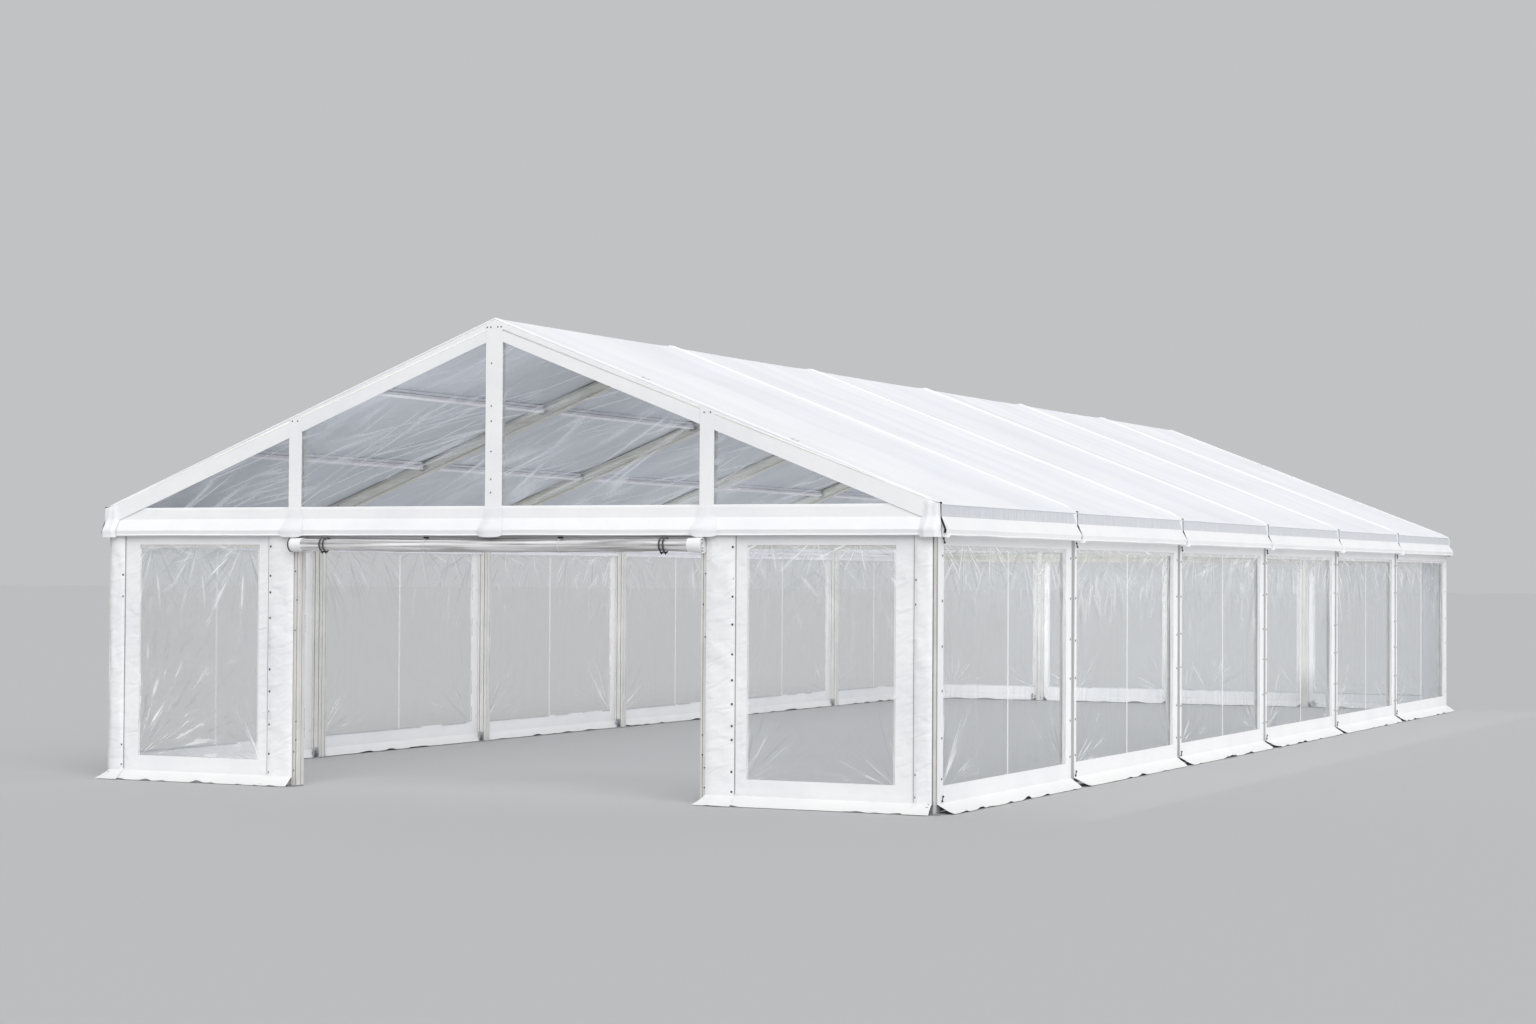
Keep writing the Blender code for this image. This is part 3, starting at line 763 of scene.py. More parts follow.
rafter = extrusion("rafter", LEG_WIDE, RAFTER_DEEP, EAVE_X / math.cos(PITCH) + 2 * SPARE,
                   RAFTER_CHANNELS)
start = under_roof(0, RAFTER_TOP + RAFTER_DEEP / 2) - SLOPE * SPARE
rafter.data.transform(axes((0, 1, 0), OUT_OF_ROOF, SLOPE, start))
cut(rafter, (0, 0, 0), (-1, 0, 0))
cut(rafter, (INNER_X, 0, 0), (1, 0, 0))
finished(rafter, CROSS_ALUMINIUM, CHANNEL_DUST_AND_SHADE)

half_portal = joined("half_portal", [leg, rafter])
portal = copies("portal", half_portal, [Matrix(), spin(180)])
for number, y in enumerate(FRAME_YS, start=1):
    placed = copies(f"portal_{number}_legs_and_rafters", portal, [move(0, y, 0)],
                    pattern_stays=True)
    keep(placed, replaces=[f"portal_frame_{number}"])
bpy.data.objects.remove(portal)
print("portal frames:", len(pieces), "of", len(pieces["portal_1_legs_and_rafters"].data.polygons))

# %% [markdown]
# ## Purlins, ridge and eave beams
# The members that run along the tent come in lengths of one bay and drop between the portals.
# One bar is extruded for each kind, copied into the six bays and joined, because the frame
# states each of these members as one node.

# %% Lengthwise members
END_GAP = 0.001
BETWEEN = BAY - LEG_WIDE - 2 * END_GAP
BAR_WIDE, PURLIN_DEEP, EAVE_BAR_DEEP, RIDGE_BAR_DEEP = 0.06, 0.08, 0.12, 0.10
EAVE_BAR_IN, EAVE_BAR_Z = 0.0305, 2.64
SMALL_CHANNELS = channels_at(x=(0.0,))


def mirrored(vector, sign):
    """A vector of the right half of the tent, or its mirror image in the left."""
    return Vector((sign * vector.x, vector.y, vector.z))


def purlin_centre(x):
    """The middle of the section of a purlin under the right slope."""
    return under_roof(x, RAFTER_TOP + END_GAP + PURLIN_DEEP / 2)


def lengthwise(name, deep, placed, node):
    """A member that runs along the tent, a length a bay."""
    bar = extrusion(name, BAR_WIDE, deep, BETWEEN, SMALL_CHANNELS, corner=0.003)
    finished(bar, LONG_ALUMINIUM, CHANNEL_DUST_AND_SHADE)
    places = [move(0, y + LEG_WIDE / 2 + END_GAP, 0) @ placed for y in FRAME_YS[:-1]]
    keep(copies(name, bar, places), replaces=[node])


for sign, side in SIDES:
    slope = mirrored(SLOPE, sign)
    inward = Vector((0, 1, 0)).cross(slope)
    for level_name, x in PURLINS_X.items():
        lengthwise(f"purlin_{side}_{level_name}", PURLIN_DEEP,
                   axes(slope, inward, (0, 1, 0), mirrored(purlin_centre(x), sign)),
                   f"roof_purlin_{side}_{level_name}")
    at = (sign * (FACE_X - EAVE_BAR_IN), 0, EAVE_BAR_Z)
    lengthwise(f"eave_rail_{side}", EAVE_BAR_DEEP,
               axes((0, 0, 1), (1, 0, 0), (0, 1, 0), at) @ spin(90), f"eave_beam_{side}")
ridge_low, ridge_high = (corner.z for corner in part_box("ridge_purlin"))
lengthwise("ridge_bar", RIDGE_BAR_DEEP,
           axes((1, 0, 0), (0, 0, -1), (0, 1, 0), (0, 0, (ridge_low + ridge_high) / 2)),
           "ridge_purlin")

# %% [markdown]
# ## Gable frames
# The beam over the doorway runs between the wall legs, the quarter legs stand from their plates
# to the rafters, and the king post stands on the beam. The rear gable has a middle leg instead.

# %% Gable frames
UPRIGHT_WIDE = 0.12
GABLE_CHANNELS = channels_at(x=(0.0,), y=(-0.034, 0.034))


def upright(x, z):
    """A gable upright from a height up to the underside of the rafter."""
    bar = extrusion("upright", UPRIGHT_WIDE, LEG_WIDE, RIDGE_Z - z, GABLE_CHANNELS)
    bar.data.transform(move(abs(x), 0, z))
    cut(bar, under_roof(0, RAFTER_TOP + RAFTER_DEEP), OUT_OF_ROOF)
    if x == 0:
        cut(bar, under_roof(0, RAFTER_TOP + RAFTER_DEEP), mirrored(OUT_OF_ROOF, -1))
    if x < 0:
        bar.data.transform(spin(180))
    return finished(bar, UPRIGHT_ALUMINIUM, CHANNEL_DUST_AND_SHADE)


def beam(start_x, end_x):
    """A length of the gable beam."""
    bar = extrusion("beam", LEG_WIDE, BEAM_DEEP, end_x - start_x, GABLE_CHANNELS)
    bar.data.transform(axes((0, 1, 0), (0, 0, 1), (1, 0, 0), (start_x, 0, BEAM_Z + BEAM_DEEP / 2)))
    return finished(bar, CROSS_ALUMINIUM, CHANNEL_DUST_AND_SHADE)


for sign, end in ENDS:
    half = UPRIGHT_WIDE / 2
    stops = [-INNER_X + END_GAP, -QUARTER_X - half, -QUARTER_X + half,
             QUARTER_X - half, QUARTER_X + half, INNER_X - END_GAP]
    parts = [upright(-QUARTER_X, PLATE_THICK), upright(QUARTER_X, PLATE_THICK)]
    if sign < 0:
        parts.append(upright(0, BEAM_Z + BEAM_DEEP))
    else:
        stops[3:3] = [-half, half]
        parts.append(upright(0, PLATE_THICK))
    parts += [beam(*pair) for pair in zip(stops[::2], stops[1::2])]
    gable = joined(f"{end}_gable_bars", parts)
    gable.data.transform(move(0, sign * FRAME_YS[-1], 0))
    keep(gable, replaces=[f"{end}_gable_frame"])
print("metal pieces:", len(pieces))

# %% [markdown]
# ## Steel feet, clamps and bolts
# A leg ends between two lugs of a galvanised base plate and is held by a pin, and two steel
# stakes hold the plate down. Purlins sit in small clamps at the rafters. The bolts are hexagons
# on a washer, modelled once and copied to every joint.

# %% Steel patterns
BOLT_RADIUS, BOLT_TOP, WASHER_THICK = 0.012, 0.013, 0.003
STAKE_RADIUS, STAKE_HEAD_RADIUS, STAKE_TOP = 0.0125, 0.022, 0.066
LUG_GAP, LUG_THICK, LUG_TOP = 0.001, 0.008, 0.13
PIN_Z, PIN_RADIUS, PIN_HEAD_RADIUS, PIN_PAST_LEG = 0.085, 0.010, 0.018, 0.022


def bolt_pattern():
    """A hexagon head on a washer, standing on z = 0."""
    washer = rod("washer", (0, 0, 0), (0, 0, WASHER_THICK), BOLT_RADIUS * 1.5)
    head = rod("head", (0, 0, WASHER_THICK), (0, 0, BOLT_TOP), BOLT_RADIUS, 6, edge=0.0015)
    return finished(joined("bolt", [washer, head]), GALVANISED)


def stake_pattern():
    """The head of a stake, driven in until it stands 66 mm over the plate."""
    shank = rod("shank", (0, 0, -0.004), (0, 0, STAKE_TOP - 0.016), STAKE_RADIUS)
    head = rod("stake_head", (0, 0, STAKE_TOP - 0.018), (0, 0, STAKE_TOP), STAKE_HEAD_RADIUS,
               edge=0.004)
    return finished(joined("stake", [shank, head]), GALVANISED)


def foot_pattern(back, front, deep, stakes):
    """A base plate from back to front with two lugs, their pin and its stakes, for a leg at 0."""
    half_long = PLATE_LONG / 2
    parts = [block("plate", (-half_long, back, 0), (half_long, front, PLATE_THICK), edge=0.002)]
    for sign in (-1, 1):
        low, high = sorted((sign * (LEG_WIDE / 2 + LUG_GAP),
                            sign * (LEG_WIDE / 2 + LUG_GAP + LUG_THICK)))
        parts.append(block("lug", (low, -deep / 3, PLATE_THICK - 0.001),
                           (high, deep / 3, LUG_TOP), edge=0.003))
    reach = LEG_WIDE / 2 + PIN_PAST_LEG
    parts += [rod("pin", (-reach, 0, PIN_Z), (reach, 0, PIN_Z), PIN_RADIUS, edge=0.002),
              rod("pin_head", (reach - 0.004, 0, PIN_Z), (reach + 0.008, 0, PIN_Z),
                  PIN_HEAD_RADIUS, edge=0.002)]
    steel = finished(joined("foot_steel", parts), GALVANISED)
    placed = copies("stakes", stake_pattern(), [move(x, y, PLATE_THICK) for x, y in stakes])
    return joined("foot", [steel, placed])


# %% Feet of the legs
STAKE_IN, GABLE_PLATE_SHIFT = 0.04, 0.09
stake_x = PLATE_LONG / 2 - STAKE_IN
wall_foot = foot_pattern(-LEG_DEEP / 2, LEG_DEEP / 2 + 0.06, LEG_DEEP,
                         [(-stake_x, 0.0), (stake_x, 0.0)])
foot_x = FACE_X - LEG_DEEP / 2
keep(copies("wall_leg_feet", wall_foot, [move(sign * foot_x, y, 0) @ spin(-90 * sign)
                                         for y in FRAME_YS for sign in (1, -1)]))

gable_foot = foot_pattern(-0.06, 0.12, LEG_WIDE, [(stake_x, -0.045), (stake_x, 0.045)])
places = [move(x + math.copysign(GABLE_PLATE_SHIFT, x), sign * FRAME_YS[-1], 0)
          @ spin(0 if sign > 0 else 180)
          for sign in (-1, 1) for x in (-QUARTER_X, QUARTER_X)]
keep(copies("gable_leg_feet", gable_foot, [*places, move(0, FRAME_YS[-1], 0)]))

# %% [markdown]
# Bolts show in fours: at each rafter's upper and lower end, at the leg's head, and through the
# purlin clamps, which are short steel channels between the rafter and the purlin's end. The outer
# faces of the two end frames have none, because the gable covers lie there.

# %% Bolts and clamps
JOINT_FACES = [(y, face) for y in FRAME_YS for face in (-1, 1) if y * face != FRAME_YS[-1]]
CLAMP_HALF, CLAMP_THICK, CLAMP_DEEP, CLAMP_LOW, CLAMP_HIGH = 0.034, 0.004, 0.075, -0.055, 0.05
CLAMP_BOLT_Y, CLAMP_BOLT_Z, CLAMP_HOOK_Y = 0.045, -0.035, 0.03


def facing(sign):
    """The turn that lays a pattern from z up onto a face that looks along the tent."""
    return spin(-90 * sign, "X")


bolt_spots = [under_roof(x, RAFTER_TOP + depth)
              for x in (0.12, 0.24, INNER_X - 0.22, INNER_X - 0.09) for depth in (0.045, 0.105)]
bolt_spots += [Vector((foot_x + 0.01, 0, z)) for z in (2.76, 2.86)]
keep(copies("joint_bolts", bolt_pattern(),
            [move(sign * spot.x, y + face * LEG_WIDE / 2, spot.z) @ facing(face)
             for y, face in JOINT_FACES for sign in (-1, 1) for spot in bolt_spots]))


def clamp_side(x):
    """One side of a purlin clamp, from x on."""
    return block("clamp_side", (x, 0, CLAMP_LOW), (x + CLAMP_THICK, CLAMP_DEEP, CLAMP_HIGH),
                 edge=0.001)


clamp = joined("clamp", [
    clamp_side(-CLAMP_HALF),
    block("clamp_back", (-CLAMP_HALF, 0, CLAMP_LOW), (CLAMP_HALF, 0.005, CLAMP_HIGH), edge=0.001),
    clamp_side(CLAMP_HALF - CLAMP_THICK),
    rod("clamp_bolt", (-0.045, CLAMP_BOLT_Y, CLAMP_BOLT_Z), (0.045, CLAMP_BOLT_Y, CLAMP_BOLT_Z),
        0.007, 8),
    rod("clamp_nut", (CLAMP_HALF, CLAMP_BOLT_Y, CLAMP_BOLT_Z),
        (0.048, CLAMP_BOLT_Y, CLAMP_BOLT_Z), 0.014, 6),
    rod("clamp_hook", (0, CLAMP_HOOK_Y, -0.075), (0, CLAMP_HOOK_Y, -0.04), 0.006, 8)])
clamp_places = []
for sign in (-1, 1):
    normal = mirrored(OUT_OF_ROOF, sign)
    for x in PURLINS_X.values():
        centre = purlin_centre(x)
        for y, face in JOINT_FACES:
            at = (sign * centre.x, y + face * LEG_WIDE / 2, centre.z)
            side_axis = Vector((0, face, 0)).cross(normal)
            clamp_places.append(axes(side_axis, (0, face, 0), normal, at))
keep(copies("purlin_clamps", clamp, clamp_places), GALVANISED)

# %% [markdown]
# ## Covers
# A cover is a grid: one column and one row of points for every line that the sheet needs, and
# closer lines where it bends. Each point is then moved to its place by a rule that knows how
# this sheet hangs, with its sag, its flare and its puckers. Solidify gives it 2 mm.

# %% The cover tool


def cover(name, columns, rows, place, hole=None, thickness=COVER, uv=None, pane=None, crisp=50):
    """A sheet of columns by rows, each point where place(column, row) says, without its holes.

    Folds sharper than crisp degrees are shaded as edges.
    """
    wide, high = len(columns) - 1, len(rows) - 1
    deselect()
    bpy.ops.mesh.primitive_grid_add(x_subdivisions=wide, y_subdivisions=high, size=2)
    piece = named(name)
    mesh = piece.data
    spots = [(round((vertex.co.x + 1) / 2 * wide), round((vertex.co.y + 1) / 2 * high))
             for vertex in mesh.vertices]
    if hole:
        cells = [hole((columns[min(spots[corner][0] for corner in face.vertices)]
                       + columns[max(spots[corner][0] for corner in face.vertices)]) / 2,
                      min(spots[corner][1] for corner in face.vertices))
                 for face in mesh.polygons]
    for vertex, (column, row) in zip(mesh.vertices, spots):
        vertex.co = place(columns[column], rows[row])
    mesh.uv_layers[0].name = "film"
    if uv:
        for loop in mesh.loops:
            column, row = spots[loop.vertex_index]
            mesh.uv_layers[0].data[loop.index].uv = uv(columns[column], rows[row])
    for key, value in (pane or {}).items():
        attribute = mesh.attributes.new(key, "FLOAT", "POINT")
        attribute.data.foreach_set("value", [value] * len(mesh.vertices))
    if hole:
        pick_faces(piece, lambda face: cells[face.index])
        bpy.ops.mesh.delete(type="FACE")
        bpy.ops.object.mode_set(mode="OBJECT")
    if thickness:
        applied(piece, "SOLIDIFY", thickness=thickness, offset=0.0, use_even_offset=True)
    take(piece)
    bpy.ops.object.shade_smooth_by_angle(angle=math.radians(crisp))
    return piece


def wave(*parts):
    """Perlin noise at a point given in units of its own grain, from about -1 to 1."""
    return noise.noise(Vector((parts + (0.0, 0.0))[:3]))


# %% [markdown]
# ## Roof covers
# One cover a bay lies over the ridge from eave to eave, held by a keder along each rafter and
# carried by the purlins. It stands proud where it comes over a rafter, with a thin ridge over
# the cord, and sinks a little between the purlins. Past the eave it turns down as the valance:
# a rolled edge, a ruched upright band, a flared band and a hem that leans in over a rolled lip.
# Folds sharper than 20 degrees are shaded crisp, so each band has its own tone. At each frame the
# valance is slit. Both sides of the slit fall straight and the flare starts beyond them with a
# small gusset; on the side that is away from the doorway the ruched band starts at the slit, and
# on the other a plain strip runs down from the rafter's cord.

# %% Roof cover rules
SLOPE_LONG = EAVE_X / math.cos(PITCH)
BAND, FLARE, HEM = 0.13, 0.145, 0.060
BEND_OUT, FLARE_OUT = 0.005, 0.078
HEM_STEPS = [0.022, 0.042, 0.047, 0.052, 0.057, HEM]
SAG, EAVE_FADE, PLAIN_STRIP = 0.016, 0.12, 0.15
KEDER_IN, GABLE_LAP = 0.036, 0.083
SUPPORTS = [0.0, *(x / math.cos(PITCH) for x in PURLINS_X.values()), SLOPE_LONG]
EDGE_STEPS = [0.0, 0.008, 0.017, 0.027, 0.036, 0.045, 0.055, 0.075, 0.11, 0.15, 0.20, 0.28, 0.38,
              0.52]


def hump(distance, width):
    """A soft hump, 1 in the middle."""
    return math.exp(-(distance / width) ** 2)


def valance(fall, flare=1.0):
    """How far out and down from the eave a valance lies, a length down it from the fold."""
    if fall <= BAND:
        rolled = 0.005 * hump(fall - 0.010, 0.008)
        return BEND_OUT * fall / BAND + rolled, fall
    fall -= BAND
    down = math.sqrt(FLARE ** 2 - (FLARE_OUT - BEND_OUT) ** 2)
    if fall <= FLARE:
        share = fall / FLARE
        return BEND_OUT + (FLARE_OUT - BEND_OUT) * share * flare, BAND + down * share
    share = (fall - FLARE) / HEM
    drawn_in = 0.010 * min(1.0, share / 0.7) - 0.010 * hump(share - 0.87, 0.10)
    return (BEND_OUT + (FLARE_OUT - BEND_OUT - drawn_in) * flare, BAND + down + HEM * share)


def sag(along, across):
    """Sag between the purlins, for a place along the slope and a share across the bay."""
    for low, high in zip(SUPPORTS, SUPPORTS[1:]):
        if low <= along <= high:
            held = math.sin(math.pi * (along - low) / (high - low)) ** 2
            return SAG * held * math.sin(math.pi * across) ** 0.7
    return 0.0


def crest(edge, over_gable):
    """How far a cover stands off the plane of the roof, near its edge over a rafter."""
    if over_gable:
        return (0.008 * hump(edge - 0.014, 0.012) - 0.010 * smooth((0.008 - edge) / 0.008)
                + 0.008 * hump(edge - GABLE_LAP, 0.07))
    cord = 0.008 * hump(edge - KEDER_IN, 0.010)
    return cord + 0.010 * hump(edge, 0.17) + 0.010 * math.exp(-edge / 0.55)


def strip_end(far, fall):
    """The distance to the slit where the plain strip's edge slants in towards the hem."""
    drawn = 0.6 * smooth(fall / BAND)
    if far <= PLAIN_STRIP:
        return far * (1 - drawn)
    if far > 2 * PLAIN_STRIP:
        return far
    return PLAIN_STRIP * (1 - drawn) + (far - PLAIN_STRIP) * (1 + drawn)


def roof_point(bay, y_low, y_high):
    """Where a point of a cover lies: y along the tent, reach down the slope from the ridge."""
    def place(y, reach):
        sign, along = (1 if reach >= 0 else -1), abs(reach)
        near, far = y - y_low, y_high - y
        edge = min(near, far)
        over_gable = (bay == 1 and near < far) or (bay == BAYS and far < near)
        if along <= SLOPE_LONG:
            held = smooth((SLOPE_LONG - along) / EAVE_FADE)
            drift = 0.0015 * wave(y / 0.5, reach / 1.3, bay) * smooth(edge / 0.2)
            out = (crest(edge, over_gable) * held + drift
                   - sag(along, (y - y_low) / (y_high - y_low)))
            if over_gable:
                rolled_in = 0.016 * smooth(1 - edge / 0.05) * held
                y += rolled_in if bay == 1 else -rolled_in
            point = Vector((along * SLOPE.x, 0, RIDGE_Z + along * SLOPE.z)) + OUT_OF_ROOF * out
            return (sign * max(0.0, point.x) if along else 0.0, y, point.z)
        fall = along - SLOPE_LONG
        far = strip_end(far, fall)
        y = y_high - far
        slit = 0.012 * smooth(fall / 0.03) + 0.014 * smooth((fall - BAND) / 0.12)
        y += slit * (hump(near, 0.03) - hump(far, 0.03))
        folded = min(smooth((near - 0.004) / 0.035), smooth((far - 0.022) / 0.040))
        out, down = valance(fall, folded)
        share = max(0.0, fall - BAND) / (FLARE + HEM)
        out += share * folded * 0.008 * wave(y / 0.45, bay * 3.1)
        out += 0.002 * wave(y / 0.08, fall / 0.2, bay)
        down += share * 0.006 * wave(y / 0.6, bay * 1.7 + 9)
        tab = max(0.0, 1 - abs(near - 0.032) / 0.03) ** 0.5
        down += 0.022 * tab * smooth((fall - BAND - FLARE - HEM / 2) / 0.01)
        return (sign * (EAVE_X + out), y, EAVE_Z - down)
    return place


# %% Roof covers
ROOF, RUCHED_PAINTED_SHADE, CORD, PLAIN, UNDERSIDE_PAINTED_SHADE = range(5)
valance_rows = [0.005, 0.011, 0.018, 0.026, 0.05, 0.09, BAND, BAND + 0.04, BAND + 0.08,
                BAND + 0.12, BAND + FLARE, *(BAND + FLARE + step for step in HEM_STEPS)]
half_rows = lines([0.0, 0.03, *SUPPORTS[1:3], SLOPE_LONG - 0.16, SLOPE_LONG - 0.04,
                   SLOPE_LONG - 0.01, SLOPE_LONG], 0.17)
half_rows += [SLOPE_LONG + fall for fall in valance_rows]
reaches = [-reach for reach in reversed(half_rows[1:])] + half_rows
for bay in range(1, BAYS + 1):
    low, high = (corner.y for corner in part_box(f"roof_cover_bay_{bay}"))
    ys = ([low + step for step in EDGE_STEPS[:-1]]
          + lines([low + EDGE_STEPS[-1], high - EDGE_STEPS[-1]], 0.2)
          + [high - step for step in reversed(EDGE_STEPS[:-1])])
    sheet = cover(f"roof_cover_{bay}", ys, reaches, roof_point(bay, low, high), crisp=20)
    finished(sheet, ROOF_PVC, RUCHED_PVC_PAINTED_SHADE, KEDER_PVC, WHITE_PVC, UNDERSIDE_PAINTED_SHADE_PVC)
    for face in sheet.data.polygons:
        centre = face.center
        fall = EAVE_Z - centre.z
        kind = ROOF
        if fall > 0.02 and abs(centre.x) > EAVE_X - 0.01:
            strip = centre.y > high - strip_end(PLAIN_STRIP - 0.001, fall)
            # The ruched band takes the greyer white of painted shade, and the plain strip stays
            # white.
            kind = RUCHED_PAINTED_SHADE if fall < BAND and not strip else PLAIN
        elif face.normal.z < 0 and abs(centre.y) < FACE_Y - 0.005:
            # Faces that look down under the roof take the greyer white of painted shade.
            kind = UNDERSIDE_PAINTED_SHADE
        elif KEDER_IN - 0.014 < min(centre.y - low, high - centre.y) < KEDER_IN + 0.012:
            kind = CORD
        face.material_index = kind
    keep(sheet, replaces=[f"roof_cover_bay_{bay}"])
print("roof cover faces:", len(pieces["roof_cover_1"].data.polygons))

# %% [markdown]
# A rubber cap closes the top of each slit, and a black rubber strip down behind it paints the
# slit's shadow.
# Along the gable's edge of the roof runs a bright corded bead, where the last cover is rolled
# round its cord.

# %% Caps and gable beads
SLIT_FALLS = [0.01, BAND, BAND + FLARE, BAND + FLARE + HEM * 0.6]
STRIP_RADII = [0.008, 0.010, 0.012]


def slit_y(y, past):
    """The y of a slit: the frame's own, and at the ends a little past the cover's face."""
    return y if abs(y) < FRAME_YS[-1] else math.copysign(FACE_Y + past, y)


cap = rod("cap", (0, 0, -0.006), (0, 0, 0.016), 0.013, edge=0.003)
keep(copies("slit_caps", cap, [
    move(sign * (EAVE_X - 0.004), slit_y(y, 0.012), EAVE_Z - 0.004)
    for y in FRAME_YS for sign in (-1, 1)]), RUBBER)

# Each black strip behind a slit is painted shadow: the dark of the slit's depth.
slit_shadow_parts = []
for y in FRAME_YS:
    wider = 0.003 if abs(y) < FRAME_YS[-1] else 0
    for sign in (-1, 1):
        spots = [(sign * (EAVE_X + out * 0.7 - 0.008), slit_y(y, 0.014), EAVE_Z - down)
                 for out, down in map(valance, SLIT_FALLS)]
        slit_shadow_parts += [rod("strip", top, foot, radius + wider, 8)
                   for top, foot, radius in zip(spots, spots[1:], STRIP_RADII)]
keep(joined("slit_shadow_strips", slit_shadow_parts), RUBBER)

BEAD = 0.010
for sign, end in ENDS:
    beads = []
    for side in (-1, 1):
        start, stop = (Vector((x, sign * (FACE_Y + 0.003), roof_z(x) - 0.006 / math.cos(PITCH)))
                       for x in (-0.1, EAVE_X))
        bead = cut(rod("bead", start, stop, BEAD), (0, 0, 0), (-1, 0, 0))
        if side < 0:
            bead.data.transform(Matrix.Scale(-1, 4, (1, 0, 0)))
            bead.data.flip_normals()
        beads.append(bead)
    keep(joined(f"{end}_gable_bead", beads), KEDER_PVC, [f"{end}_gable_cover"])

# %% [markdown]
# ## Side walls
# A side wall cover slides into the legs' channels. It has a white border, a sill band, and a mud
# skirt that turns out over the ground with a wavy edge and rounded corners. The window is two
# clear sheets behind the border that lap 40 mm in the middle of the window, where they are
# welded. At the corners of the tent the border runs on over the leg. Inside, a short flap turns
# in over the ground from each bay, which is the white band that shows under the sills.

# %% Wall cover sizes
TOP_Z, WINDOW_TOP, SILL_Z, SKIRT_BEND = 2.80, 2.62, 0.27, 0.10
SKIRT_OUT, WELD, FILM_FOLDS, FILM_STEP = 0.158, 0.02, 0.009, 0.036
PANEL_EDGE = LEG_WIDE / 2 - 0.005
NEAR_BORDER, FAR_BORDER, FAR_LAP, CORNER_OVER = 0.06, 0.17, 0.13, 0.03
SKIRT_ROUND, END_STEP = 0.11, 0.028
SKIRT_ROWS = [1.0, 0.93, 0.8, 0.6, 0.4, 0.2]
ROWS = ([-share for share in SKIRT_ROWS] + [SKIRT_BEND]
        + lines([SKIRT_BEND, SILL_Z, WINDOW_TOP, TOP_Z], 0.09)[1:])
SILL_ROW, WINDOW_ROW = ROWS.index(SILL_Z), ROWS.index(WINDOW_TOP)


def wall_shape(along, row, ends, seed):
    """Out and up of a wall cover at a place along it. A row below zero is a share of the skirt."""
    near = min(along - ends[0], ends[1] - along)
    if row > 0:
        pucker = 0.0035 * wave(along / 0.5, row / 0.25, seed)
        held = smooth((row - SKIRT_BEND) / 0.15) * smooth((TOP_Z - row) / 0.1)
        return max(0.0, pucker * held * smooth(near / 0.05)), row
    share = -row
    corner = 1.0
    if near < SKIRT_ROUND:
        corner = 0.12 + 0.88 * math.sqrt(max(0.0, 1 - (1 - near / SKIRT_ROUND) ** 2))
    tip = share * corner
    wobble = 0.012 * wave(along / 0.33, seed * 2.3) * share ** 2
    uneven = wave(along / 0.27, seed * 5.1) + 0.5 * wave(along / 0.11, seed * 3.3)
    lifted = max(0.0, uneven - 0.10) * 0.050 * share ** 3
    out = SKIRT_OUT * tip + wobble * corner
    z = SKIRT_BEND - (SKIRT_BEND - 0.005) * tip + lifted * corner
    return max(0.0, out), max(0.003, z)


def flat_uv(along, row):
    """A sheet's own columns and rows, for its UV map."""
    return along, row


def film_point(point_at, columns, rows, seed, lift):
    """Where a window's film lies: flat at its welds, with soft folds from its top between."""
    low, high = columns[0], columns[-1]
    bottom, top = rows[0], rows[-1]

    def place(along, z):
        edge = min(along - low, high - along, z - bottom, top - z)
        fan = along + 0.5 * (top - z) * wave(along / 0.8, seed)
        folds = wave(fan / 0.13, z / 1.1, seed) + 0.5 * wave(along / 0.5, z / 0.6, seed + 7)
        return point_at(along, FILM_OUT + lift
                        + FILM_FOLDS * folds * smooth((edge - WELD) / 0.12), z)
    return place


# %% Side walls and windows
QUARTERS = [0.0, 0.25, 0.5, 0.75, 1.0]


def side_place(sign):
    """A point of a side wall, along it, out from the legs, up."""
    return lambda along, out, z: (sign * (FACE_X + out), along, z)


def wall_columns(stops, step=0.08):
    """Columns between stops, close together at both ends where the skirt is round."""
    first, last = stops[0], stops[-1]
    ends = ([first + END_STEP * number for number in range(1, 5)]
            + [last - END_STEP * number for number in range(1, 5)])
    inside = [value for value in lines(stops, step)
              if value in stops or min(value - first, last - value) > 4.6 * END_STEP]
    return sorted(set(round(value, 5) for value in inside + ends))


def window_film(name, point_at, low, high, seed, finish, mirror=False, lift=0.0, lap=WELD):
    """The clear film of one window, lapped behind its border. Its lap sets how far in from one
    side the weld is drawn.
    """
    columns = lines([low - WELD, high + WELD], FILM_STEP)
    rows = lines([SILL_Z - WELD, WINDOW_TOP + WELD], FILM_STEP)
    middle_x = (low + high) / 2

    def uv(along, z):
        reach = (middle_x - along if mirror else along - middle_x) + (high - low) / 2
        return reach - (lap - WELD if mirror else 0.0), z - SILL_Z
    film = cover(name, columns, rows, film_point(point_at, columns, rows, seed, lift),
                 thickness=0, uv=uv, pane={"pane": seed * 3.7, "reach": high - low - lap + WELD})
    return finished(film, finish)


def inner_flap(name, point_at, low, high, seed, sheet):
    """The flap that turns in from the foot of a wall between two legs."""
    def place(along, row):
        near = min(along - low, high - along)
        reach = row * (0.3 + 0.7 * smooth(near / 0.05))
        lifted = 0.05 * max(0.0, wave(along / 0.3, seed * 4.3) - 0.05) * row ** 3
        ragged = 0.012 * wave(along / 0.2, seed * 1.9) * row ** 2
        out = 0.001 - 0.085 * reach - ragged * reach
        return point_at(along, out, 0.105 - 0.098 * reach + lifted)
    flap = cover(name, lines([low, high], 0.09), QUARTERS, place, thickness=0.001, uv=flat_uv)
    return flap


